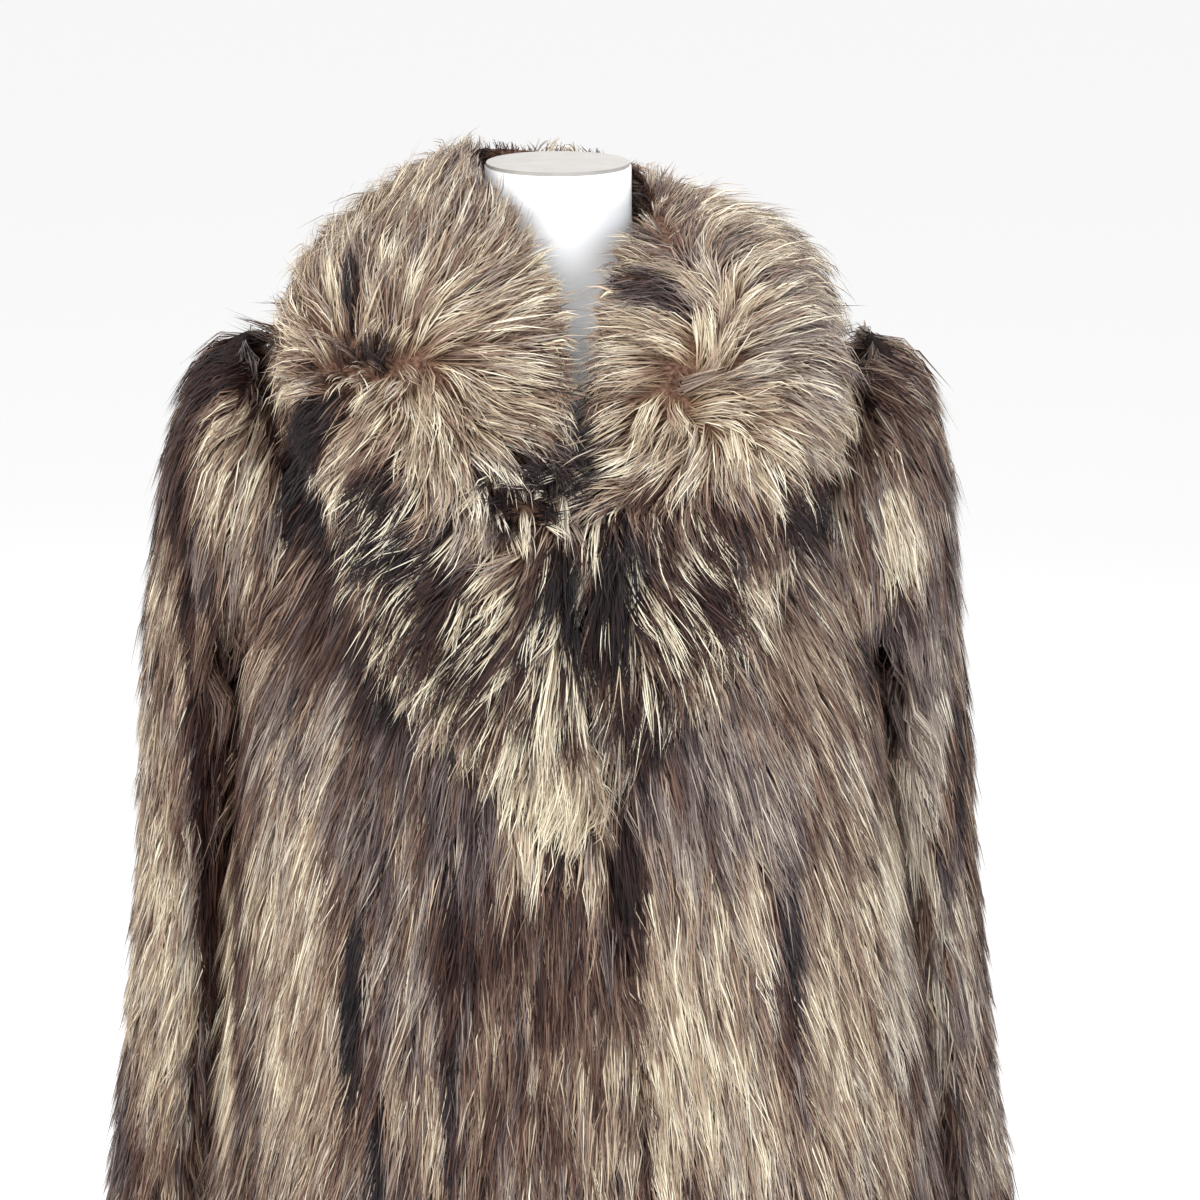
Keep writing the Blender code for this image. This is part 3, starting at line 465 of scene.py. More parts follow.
# where the collar's hair points, seen from the front: x, z and degrees clockwise from straight up
collarFlow = {
    "collar_left": [
        (-0.067, 1.504, 2), (-0.075, 1.483, 4), (-0.052, 1.481, 6), (-0.038, 1.472, 22),
        (-0.03, 1.459, 38), (-0.015, 1.445, 58), (-0.008, 1.428, 76), (-0.001, 1.409, 86),
        (0.003, 1.387, 100), (-0.006, 1.372, 116), (-0.097, 1.482, -5), (-0.118, 1.467, -2),
        (-0.102, 1.45, 8), (-0.08, 1.45, 24), (-0.058, 1.45, 36), (-0.044, 1.425, 64),
        (-0.037, 1.406, 80), (-0.065, 1.419, 50), (-0.086, 1.42, 34), (-0.108, 1.421, 10),
        (-0.128, 1.414, 0), (-0.146, 1.408, -12), (-0.149, 1.443, -6), (-0.156, 1.434, -14),
        (-0.172, 1.427, -30), (-0.178, 1.408, -58), (-0.172, 1.392, -74), (-0.178, 1.369, -102),
        (-0.169, 1.35, -138), (-0.148, 1.373, -150), (-0.126, 1.36, -150), (-0.134, 1.34, -142),
        (-0.115, 1.341, -146), (-0.099, 1.359, -168), (-0.085, 1.365, 180), (-0.071, 1.365, 174),
        (-0.056, 1.357, 164), (-0.06, 1.39, 112), (-0.036, 1.38, 110), (-0.036, 1.362, 130),
        (-0.043, 1.348, 142), (-0.021, 1.355, 128), (-0.021, 1.337, 150), (-0.008, 1.363, 120),
        (-0.07, 1.34, 180), (-0.091, 1.338, -165), (-0.107, 1.313, -146), (-0.13, 1.322, -132),
        (-0.082, 1.316, -172), (-0.056, 1.313, 178), (-0.031, 1.317, 165), (-0.01, 1.292, -172),
        (-0.043, 1.288, -155), (-0.087, 1.268, -118), (-0.119, 1.252, -124), (-0.083, 1.244, -118),
        (-0.05, 1.255, -125), (-0.054, 1.224, -148), (-0.097, 1.202, -142), (-0.078, 1.191, -142),
        (-0.044, 1.196, -142), (-0.112, 1.218, -142), (-0.064, 1.159, -150), (-0.04, 1.161, -150),
        (-0.015, 1.167, -156), (-0.007, 1.195, -160), (0.014, 1.168, -172), (-0.041, 1.126, -157),
        (-0.003, 1.128, 178), (0.018, 1.223, 172), (0.006, 1.274, 175),
    ],
    "collar_right": [
        (0.069, 1.476, 14), (0.092, 1.473, 24), (0.091, 1.461, 10), (0.063, 1.441, -70),
        (0.061, 1.447, -108), (0.075, 1.445, -98), (0.053, 1.429, -112), (0.068, 1.425, -100),
        (0.098, 1.453, 6), (0.121, 1.46, 40), (0.142, 1.453, 50), (0.155, 1.441, 60),
        (0.17, 1.433, 74), (0.14, 1.43, 36), (0.168, 1.42, 66), (0.146, 1.42, 50),
        (0.125, 1.423, 6), (0.106, 1.426, -24), (0.088, 1.413, -50), (0.074, 1.403, -54),
        (0.057, 1.405, -62), (0.039, 1.395, -74), (0.053, 1.386, -84), (0.032, 1.378, -104),
        (0.046, 1.373, -98), (0.032, 1.36, -124), (0.067, 1.376, -80), (0.107, 1.396, 0),
        (0.138, 1.399, 88), (0.159, 1.402, 94), (0.189, 1.399, 104), (0.196, 1.38, 104),
        (0.145, 1.384, 98), (0.166, 1.379, 104), (0.196, 1.359, 110), (0.137, 1.369, 100),
        (0.158, 1.362, 114), (0.188, 1.34, 124), (0.166, 1.339, 130), (0.144, 1.354, 122),
        (0.158, 1.318, 140), (0.13, 1.328, 155), (0.118, 1.329, 166), (0.102, 1.366, 92),
        (0.091, 1.361, 96), (0.074, 1.363, -150), (0.06, 1.35, -178), (0.076, 1.333, -174),
        (0.095, 1.328, -162), (0.045, 1.343, -142), (0.032, 1.324, -138), (0.038, 1.31, -118),
        (0.067, 1.31, -158), (0.079, 1.244, 142), (0.108, 1.246, 132), (0.106, 1.219, 140),
        (0.083, 1.201, 150), (0.073, 1.213, 150), (0.131, 1.256, 160), (0.052, 1.283, 150),
        (0.1, 1.285, 160), (0.141, 1.296, 150), (0.041, 1.22, 175), (0.043, 1.161, 175),
        (0.031, 1.258, 178), (0.16, 1.303, 142),
    ],
}
# the slit between the collar's halves at the throat, where the hair is short
neckGap = {"middle": 0.0165, "heights": (1.38, 1.43, 1.50), "halfWidths": (0.012, 0.018, 0.055)}
# short ruffled hair that stands every way: x, z, half width and half height
ruffled = {"collar_left": [(-0.131, 1.392, 0.034, 0.013), (-0.022, 1.300, 0.026, 0.026)]}
guideSteps = 6
collarComb = {
    "blend": 0.006,  # how close to a row of the flow the hair follows it alone
    "behindFacing": (-0.15, 0.35), "behindHeight": (1.30, 1.36),  # where the flow seen from the front ends
    "inner": -0.2, "behindFrom": 0.02, "falling": 0.6,
}
bodyComb = {
    "shoulder": (1.29, 1.38), "sleeveOutward": 0.1, "outward": 0.35,
    "shoulderOutward": 1.4, "shoulderFlat": 0.6,  # over the shoulder the hair points more outwards
    "inner": -0.3, "armpitFrom": 1.2, "armpitMiddle": -0.01, "falling": 0.5,
}


def collarWay(node, points, normals):
    # the flow seen from the front, and behind the neck up the inner side and down the outer one
    rows = np.array(collarFlow[node])
    turns = np.radians(rows[:, 2])
    pointing = np.stack([np.sin(turns), np.zeros(len(rows)), np.cos(turns)], axis=1)
    distance = ((points[:, None, (0, 2)] - rows[None, :, :2]) ** 2).sum(axis=2)
    seen = unit((1 / (distance + collarComb["blend"] ** 2) ** 2) @ pointing)
    facing = ease(*collarComb["behindFacing"], normals[:, 1])
    behind = (facing * ease(*collarComb["behindHeight"], points[:, 2]))[:, None]
    across = unit(points * (1, 1, 0))
    inner = (np.sum(across * normals, axis=1) < collarComb["inner"])[:, None]
    inward = np.where(points[:, 1:2] > collarComb["behindFrom"], up, np.cross(up, across))
    falling = across - collarComb["falling"] * up
    return seen * (1 - behind) + unit(np.where(inner, inward, falling)) * behind


def bodyWay(node, points, normals):
    # down and a little outwards, and in the armpit round to the front or the back
    sleeve = node.startswith("sleeve")
    across = unit(points * (1, 1, 0))
    shoulder = ease(*bodyComb["shoulder"], points[:, 2:])
    outward = bodyComb["sleeveOutward" if sleeve else "outward"] + bodyComb["shoulderOutward"] * shoulder
    way = outward * across - (1 - bodyComb["shoulderFlat"] * shoulder) * up
    inner = (np.sum(across * normals, axis=1) < bodyComb["inner"]) & (points[:, 2] > bodyComb["armpitFrom"])
    forward = np.sign(points[:, 1:2] - bodyComb["armpitMiddle"]) * (0, 1, 0)
    return np.where((inner & sleeve)[:, None], forward - bodyComb["falling"] * up, way)


def combed(node, points, normals, lean):
    # the way the hair lies at each point, along the surface
    wayOf = collarWay if node.startswith("collar") else bodyWay
    way = onSurface(wayOf(node, points, normals), normals)
    return unit(way * np.cos(lean)[:, None] + np.cross(normals, way) * np.sin(lean)[:, None])


def normalsAt(skin, faces, places):
    corners = skin["corners"][faces]
    distance = ((skin["points"][corners] - places[:, None]) ** 2).sum(axis=2)
    share = 1 / (distance + 1e-6)
    return unit((skin["normals"][corners] * share[:, :, None]).sum(axis=1))


bodyFan = {"halfWidth": 0.25, "least": 5, "most": 30, "sleeveMost": 8, "heights": (0.95, 1.28)}
locks = {"wanderCell": (0.05, 0.05, 0.08), "wanderSeed": 5, "lengthSpread": 0.16}


def bodyLean(node, starts, normals):
    # the hair of the body and the sleeves fans out to the sides, more so towards the shoulders
    most = bodyFan["sleeveMost" if node.startswith("sleeve") else "most"]
    degrees = bodyFan["least"] + most * ease(*bodyFan["heights"], starts[:, 2])
    return starts[:, 0] / bodyFan["halfWidth"] * np.radians(degrees) * -normals[:, 1]


collarLengths = {
    # a single number is how much the length changes there, and a pair is where the change fades
    "atForm": 0.72, "formDistance": (0.012, 0.05), "neckBack": (0.03, 0.05), "neckFacing": (0.0, 0.3),
    "atGap": 0.75, "gapHeights": (1.365, 1.39), "gapReach": (0.0, 0.04),
    "lowHeights": (1.24, 1.34), "lowLonger": 0.3, "tipHeights": (1.20, 1.26), "tipLonger": 0.4,
    "lowFrom": 1.34, "lowSide": 0.45, "sideFacing": -0.3,
    "atShoulder": 0.6, "shoulderPlaces": (-0.205, -0.165), "shoulderHeights": (1.36, 1.40),
}


def collarLength(length, starts, normals):
    # short beside the form and in the neck's gap, long towards the lower tips, short over the left shoulder
    rules = collarLengths
    x, y, z = starts.T
    fromForm = np.array([formTree.find_nearest(place)[3] for place in starts.tolist()])
    behindNeck = ease(*rules["neckBack"], y) * ease(*rules["neckFacing"], normals[:, 1])
    nearForm = 1 - ease(*rules["formDistance"], fromForm)
    length = length * (1 - rules["atForm"] * nearForm * (1 - behindNeck))
    aside = np.abs(x - neckGap["middle"]) - np.interp(z, neckGap["heights"], neckGap["halfWidths"])
    inGap = ease(*rules["gapHeights"], z) * (1 - ease(*rules["gapReach"], aside)) * (y < 0)
    length = length * (1 - rules["atGap"] * inGap)
    longer = rules["lowLonger"] * (1 - ease(*rules["lowHeights"], z))
    length = length * (1 + longer + rules["tipLonger"] * (1 - ease(*rules["tipHeights"], z)))
    onSide = (z < rules["lowFrom"]) & (normals[:, 1] > rules["sideFacing"])
    length = length * np.where(onSide, rules["lowSide"], 1)
    overShoulder = (1 - ease(*rules["shoulderPlaces"], x)) * (1 - ease(*rules["shoulderHeights"], z))
    return length * (1 - rules["atShoulder"] * overShoulder)


crowding = {
    "free": 0.04,  # free air in front of its root that gives a hair room
    "length": 0.6, "above": 0.25,  # shares of the length and of the free air that a crowded hair has
    "neckFrom": 1.38,  # the collar's hair doesn't fill the neck's opening
    "fill": 0.6, "fillMost": 0.014, "armpitFill": 0.35, "armpitMost": 0.02,
    "armpitFoot": (1.10, 1.14), "armpitTop": (1.27, 1.30),
}
ruffling = {"edge": (0.6, 1.3), "lean": 70, "shorter": 0.62, "above": 0.005}
pathRules = {
    "sideways": 0.5, "gap": 0.2, "stuck": 0.55,  # when a step has left the surface
    "edgeFacing": -0.4, "overhangFrom": 1.33, "sag": 0.06, "rise": 1.6,
}


def guideLines(node, settings, starts, normals, depth, chance):
    # a lock's path follows the surface, goes straight on where that ends, and rises towards the tip
    skin, many, collar, height = skins[node], len(starts), node.startswith("collar"), starts[:, 2]
    free = reach(everything, starts + normals * rays["offRoot"], normals, rays["nearRoot"])
    room = ease(0, crowding["free"], free)
    lean = np.zeros(many) if collar else bodyLean(node, starts, normals)
    wander = softNoise(starts, locks["wanderCell"], locks["wanderSeed"])
    lean = lean + np.radians(settings["wander"]) * (wander - 0.5) * 2
    lean = lean + np.radians(settings["stray"]) * chance.normal(0, 1, many)
    length = settings["length"] * (1 + locks["lengthSpread"] * chance.normal(0, 1, many))
    length = length * (crowding["length"] + (1 - crowding["length"]) * room)
    if collar:
        length = collarLength(length, starts, normals)
    above = settings["above"] + settings["ragged"] * chance.normal(0, 1, many)
    for x, z, across, down in ruffled.get(node, ()):
        distance = np.hypot((starts[:, 0] - x) / across, (height - z) / down)
        share = (1 - ease(*ruffling["edge"], distance)) * (normals[:, 1] < 0)
        lean = lean + share * np.radians(ruffling["lean"]) * chance.normal(0, 1, many)
        length = length * (1 - ruffling["shorter"] * share)
        above = above + ruffling["above"] * share
    filled = (free < crowding["free"]) & (not collar or height < crowding["neckFrom"])
    armpit = ease(*crowding["armpitFoot"], height) * (1 - ease(*crowding["armpitTop"], height))
    filling = (crowding["fill"] + crowding["armpitFill"] * armpit) * free
    filling = np.minimum(filling, crowding["fillMost"] + crowding["armpitMost"] * armpit)
    above = np.where(filled, filling, np.minimum(above, crowding["above"] * free))

    stride = length / guideSteps
    sag = pathRules["sag"] * up
    low = height < collarLengths["lowFrom"]
    here, way, beyond = starts, None, np.zeros(many, bool)
    lines = [starts - normals * depth[:, None]]
    for step in range(guideSteps):
        fresh = combed(node, here, normals, lean)
        way = fresh if way is None else np.where(beyond[:, None], unit(way - sag), fresh)
        overhang = np.where(beyond & (height > pathRules["overhangFrom"]), settings["overhang"], 1)
        forward = here + way * overhang[:, None] * stride[:, None]
        found = [skin["tree"].find_nearest(place) for place in forward.tolist()]
        nearest = np.array([hit[0] for hit in found])
        fresh = normalsAt(skin, np.array([hit[2] for hit in found]), nearest)
        sideways = np.sum(unit(forward - nearest) * fresh, axis=1) < pathRules["sideways"]
        left = np.array([hit[3] for hit in found]) > pathRules["gap"] * stride
        stuck = np.linalg.norm(nearest - here, axis=1) < pathRules["stuck"] * stride
        beyond = beyond | stuck | (sideways & left)
        if collar:
            beyond = beyond | (low & (fresh[:, 1] > pathRules["edgeFacing"]))
        here = np.where(beyond[:, None], forward, nearest)
        normals = np.where(beyond[:, None], normals, fresh)
        rise = 1 - (1 - (step + 1) / guideSteps) ** pathRules["rise"]
        lines.append(here + normals * ((depth + above) * rise - depth)[:, None])
    return np.stack(lines, axis=1), room


patchRules = {"facing": (-0.25, 0.25), "edge": (0.65, 1.35), "torn": 0.5}


def tonesAt(points, facing, patches, base, chance):
    # tone, coolness and share of pale tufts, from the piece's base and the patches laid over it
    tone, cool, tufts = (np.full(len(points), value) for value in base)
    front = ease(*patchRules["facing"], -facing)
    for x, z, across, down, lean, patchCool, patchTone, patchTufts, strength in patches:
        turn = math.radians(lean)
        dx, dz = points[:, 0] - x, points[:, 2] - z
        u = dx * math.cos(turn) + dz * math.sin(turn)
        v = dz * math.cos(turn) - dx * math.sin(turn)
        distance = np.sqrt((u / across) ** 2 + (v / down) ** 2) + patchRules["torn"] * (chance - 0.5)
        weight = strength * front * (1 - ease(*patchRules["edge"], distance))
        tone += (patchTone - tone) * weight
        cool += (patchCool - cool) * weight
        tufts += (patchTufts - tufts) * weight
    return tone, cool, tufts


def sow(skin, weights, count, chance):
    # random places on the furred faces, with the normal and the pelt's depth there
    face = chance.choice(len(weights), count, p=weights / weights.sum())
    one, two = np.sqrt(chance.random(count)), chance.random(count)
    shares = np.stack([1 - one, one * (1 - two), one * two], axis=1)[:, :, None]
    corners = skin["corners"][face]
    points = (skin["points"][corners] * shares).sum(axis=1)
    normals = unit((skin["normals"][corners] * shares).sum(axis=1))
    depth = (skin["depth"][corners] * shares[:, :, 0]).sum(axis=1)
    return points, normals, depth, face


shownFur = {"facing": 0.3, "lowest": 0.60}  # what the camera sees is sown more densely
hairRules = {
    "bend": 0.06, "pull": 1.2,  # sideways bend in lengths, and how late the lock draws a hair in
    "rootShown": 0.4, "tipShown": 0.6,  # a hair takes its tone from the place where it is seen
    "thinnest": 0.75, "widthSpread": 0.5,
    "mapWidth": 0.006, "mapRoot": 0.01, "mapLength": 0.98,
    "stopsAt": 0.68, "reachSpread": 0.34, "reachBend": 0.6,
}
toneRules = {
    "streakCell": (0.009, 0.009, 0.07), "fineCell": (0.003, 0.003, 0.04), "coolCell": (0.006, 0.006, 0.06),
    "darkMottle": 0.15, "paleEnd": 1.15, "mottleRise": 2.2,  # the mottling fades at both ends of the ramp
    "tuft": 0.95, "tuftSpread": 0.1, "shadedHeights": (0.90, 1.02), "coolContrast": 1.5, "coolSpread": 0.16,
    "warmStart": 0.012, "coolStart": 0.512, "span": 0.476,
}


def hairLines(settings, path, points, normals, depth, chance):
    # a hair has its lock's path from its own root, and is drawn to its lock towards the tip
    count, steps = settings["count"], settings["steps"]
    path = path[:, ::guideSteps // steps]
    start, path = path[:, 0], path - path[:, :1]
    share = np.linspace(0, 1, steps + 1)[None, :, None]
    roots = (points - normals * depth[:, None])[:, None]
    length = 1 + settings["uneven"] * chance.normal(0, 1, count)
    side = np.cross(normals, unit(path[:, 1]))
    swing = settings["length"] * np.radians(settings["stray"])
    drift = side * (swing * chance.normal(0, 1, count))[:, None]
    drift = drift + normals * (settings["fuzz"] * chance.normal(0, 1, count))[:, None]
    bend = side * (hairRules["bend"] * settings["length"] * chance.normal(0, 1, count))[:, None]
    pull = settings["gather"] * share ** hairRules["pull"]
    lines = roots + (start[:, None] - roots) * pull + path * length[:, None, None]
    return lines + drift[:, None] * share + bend[:, None] * np.sin(share * math.pi)


def hairTones(settings, lines, normals, shade, lockChance, lockTone, chance):
    # each hair's place on the ramp of colours, from the patches, its lock, streaks and chance, darkened by
    # painted shade in narrow gaps
    count, seed, rules = settings["count"], settings["seed"], toneRules
    places = lines[:, 0] * hairRules["rootShown"] + lines[:, -1] * hairRules["tipShown"]
    streaks = softNoise(places, rules["streakCell"], seed + 1) - 0.5
    fine = softNoise(places, rules["fineCell"], seed + 2) - 0.5
    tone, cool, tufts = tonesAt(places, normals[:, 1], settings["patches"], settings["base"], lockChance)
    mottle = settings["lockTone"] * lockTone + settings["hairTone"] * chance.normal(0, 1, count)
    mottle = mottle + settings["streak"] * streaks + settings["fineStreak"] * fine
    fromDark = np.clip(rules["darkMottle"] + rules["mottleRise"] * tone, 0, 1)
    fromPale = np.clip(rules["mottleRise"] * (rules["paleEnd"] - tone), 0, 1)
    tone = tone + mottle * fromDark * fromPale
    tuftTone = rules["tuft"] + rules["tuftSpread"] * chance.normal(0, 1, count)
    tone = np.where(lockChance < tufts, tuftTone, tone)
    tone = np.clip(tone * (1 - shade), 0.0, 1.0)
    greyness = 0.5 + rules["coolContrast"] * (softNoise(places, rules["coolCell"], seed + 3) - 0.5)
    grey = greyness + rules["coolSpread"] * chance.normal(0, 1, count) < cool
    return np.where(grey, rules["coolStart"], rules["warmStart"]) + rules["span"] * tone


def hairStrips(settings, lines, normals, tones, sparse, chance):
    # each hair has a pair of points at every step and one at its tip; its map holds its tone and its length
    count, steps, rules = settings["count"], settings["steps"], hairRules
    along = unit(np.gradient(lines, axis=1))
    rolled = chance.normal(0, settings["roll"], count)[:, None, None]
    side = unit(np.cross(along, np.broadcast_to(normals[:, None], along.shape)))
    side = side * np.cos(rolled) + np.cross(side, along) * np.sin(rolled)
    width = settings["width"] * (rules["thinnest"] + rules["widthSpread"] * chance.random(count))
    width = width * np.where(sparse, settings["coarser"], 1.0)
    half = width[:, None] * np.array(settings["halfWidths"])
    left, right = (lines[:, :-1] + side[:, :-1] * half[:, :, None] * way for way in (-1, 1))
    pairs = np.stack([left, right], axis=2).reshape(count, 2 * steps, 3)
    vertices = np.concatenate([pairs, lines[:, -1:]], axis=1)
    own = 2 * steps + 1
    pattern = [corners for n in range(0, own - 3, 2) for corners in ((n, n + 1, n + 3), (n, n + 3, n + 2))]
    pattern = np.array(pattern + [(own - 3, own - 2, own - 1)])
    turned = np.sum(np.cross(vertices[:, 1] - vertices[:, 0], along[:, 0]) * normals, axis=1) < 0
    triangles = pattern[None] + own * np.arange(count)[:, None, None]
    triangles = np.where(turned[:, None, None], triangles[:, :, ::-1], triangles).reshape(-1, 3)
    across = np.append(np.tile((-rules["mapWidth"], rules["mapWidth"]), steps), 0)
    rise = np.append(np.repeat(np.arange(steps) / steps, 2), 1) * rules["mapLength"] + rules["mapRoot"]
    # past its tip start a hair is dark, so the ones that stop short of it have pale tips
    bend = rules["reachBend"] / settings["darkTipped"]
    reached = rules["stopsAt"] + rules["reachSpread"] * chance.random(count) ** bend
    rise = rise[None] * np.minimum(reached, 1.0)[:, None]
    mapped = np.stack([tones[:, None] + across, rise], axis=2)
    return vertices.reshape(-1, 3), triangles, mapped.reshape(-1, 2)


def growFur(name, settings):
    node, count = settings["node"], settings["count"]
    skin = skins[node]
    chance = np.random.default_rng(settings["seed"])
    centres = skin["points"][skin["corners"]].mean(axis=1)
    facing = skin["normals"][skin["corners"]].mean(axis=1)
    shown = (facing[:, 1] < shownFur["facing"]) & (centres[:, 2] > shownFur["lowest"])
    weights = skin["areas"] * np.where(shown, 1.0, settings["behind"])
    lockPoints, lockNormals, lockDepth, _ = sow(skin, weights, count // settings["perLock"], chance)
    guides, lockRoom = guideLines(node, settings, lockPoints, lockNormals, lockDepth, chance)
    points, normals, depth, face = sow(skin, weights, count, chance)
    tree = KDTree(len(lockPoints))
    for index, place in enumerate(lockPoints.tolist()):
        tree.insert(place, index)
    tree.balance()
    lock = np.array([tree.find(place)[1] for place in points.tolist()])
    lockChance = chance.random(len(lockPoints))[lock]
    lockTone = chance.normal(0, 1, len(lockPoints))[lock]
    lines = hairLines(settings, guides[lock], points, normals, depth, chance)
    # painted shade: hairs whose lock has little free air before its root, in gaps between parts, are darkened
    # above the shaded heights
    shade = settings["gapShade"] * (1 - lockRoom[lock]) * ease(*toneRules["shadedHeights"], points[:, 2])
    tones = hairTones(settings, lines, normals, shade, lockChance, lockTone, chance)
    vertices, triangles, mapped = hairStrips(settings, lines, normals, tones, ~shown[face], chance)

    mesh = bpy.data.meshes.new(name)
    mesh.vertices.add(len(vertices))
    mesh.vertices.foreach_set("co", vertices.reshape(-1))
    mesh.loops.add(len(triangles) * 3)
    mesh.loops.foreach_set("vertex_index", triangles.reshape(-1))
    mesh.polygons.add(len(triangles))
    mesh.polygons.foreach_set("loop_start", np.arange(len(triangles)) * 3)
    mesh.polygons.foreach_set("use_smooth", np.ones(len(triangles), bool))
    mesh.update(calc_edges=True)
    mesh.validate()
    hairMap = mesh.uv_layers.new(name="OFBake")
    hairMap.data.foreach_set("uv", mapped[triangles.reshape(-1)].reshape(-1))
    mesh.materials.append(settings["material"])
    obj = placed(name, mesh)
    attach(obj, "root")
    print(name, count, "hairs")
    return obj


bodyFur = {
    "slot": "fur", "material": bodyHair, "steps": 2, "halfWidths": (0.42, 0.5),
    "length": 0.060, "width": 0.0010, "overhang": 1.0, "above": 0.003, "ragged": 0.002,
    "fuzz": 0.0010, "gather": 0.45, "perLock": 18, "wander": 6, "stray": 2.2, "uneven": 0.14, "roll": 0.35,
    "behind": 0.35, "coarser": 2.0, "darkTipped": 0.4, "gapShade": 0.75,
    "lockTone": 0.05, "hairTone": 0.11, "streak": 0.35, "fineStreak": 0.6, "base": (0.5, 0.35, 0.0),
}
sleeveFur = dict(bodyFur, length=0.052)
collarFur = {
    "slot": "collar_fur", "material": collarHair, "steps": 3, "halfWidths": (0.36, 0.5, 0.4),
    "length": 0.036, "width": 0.0009, "overhang": 0.5, "above": 0.004, "ragged": 0.0025,
    "fuzz": 0.0026, "gather": 0.5, "perLock": 14, "wander": 14, "stray": 8, "uneven": 0.2, "roll": 0.5,
    "behind": 0.3, "coarser": 2.0, "darkTipped": 0.6, "gapShade": 0.75,
    "lockTone": 0.09, "hairTone": 0.11, "streak": 0.3, "fineStreak": 0.35, "base": (0.8, 0.3, 0.0),
}
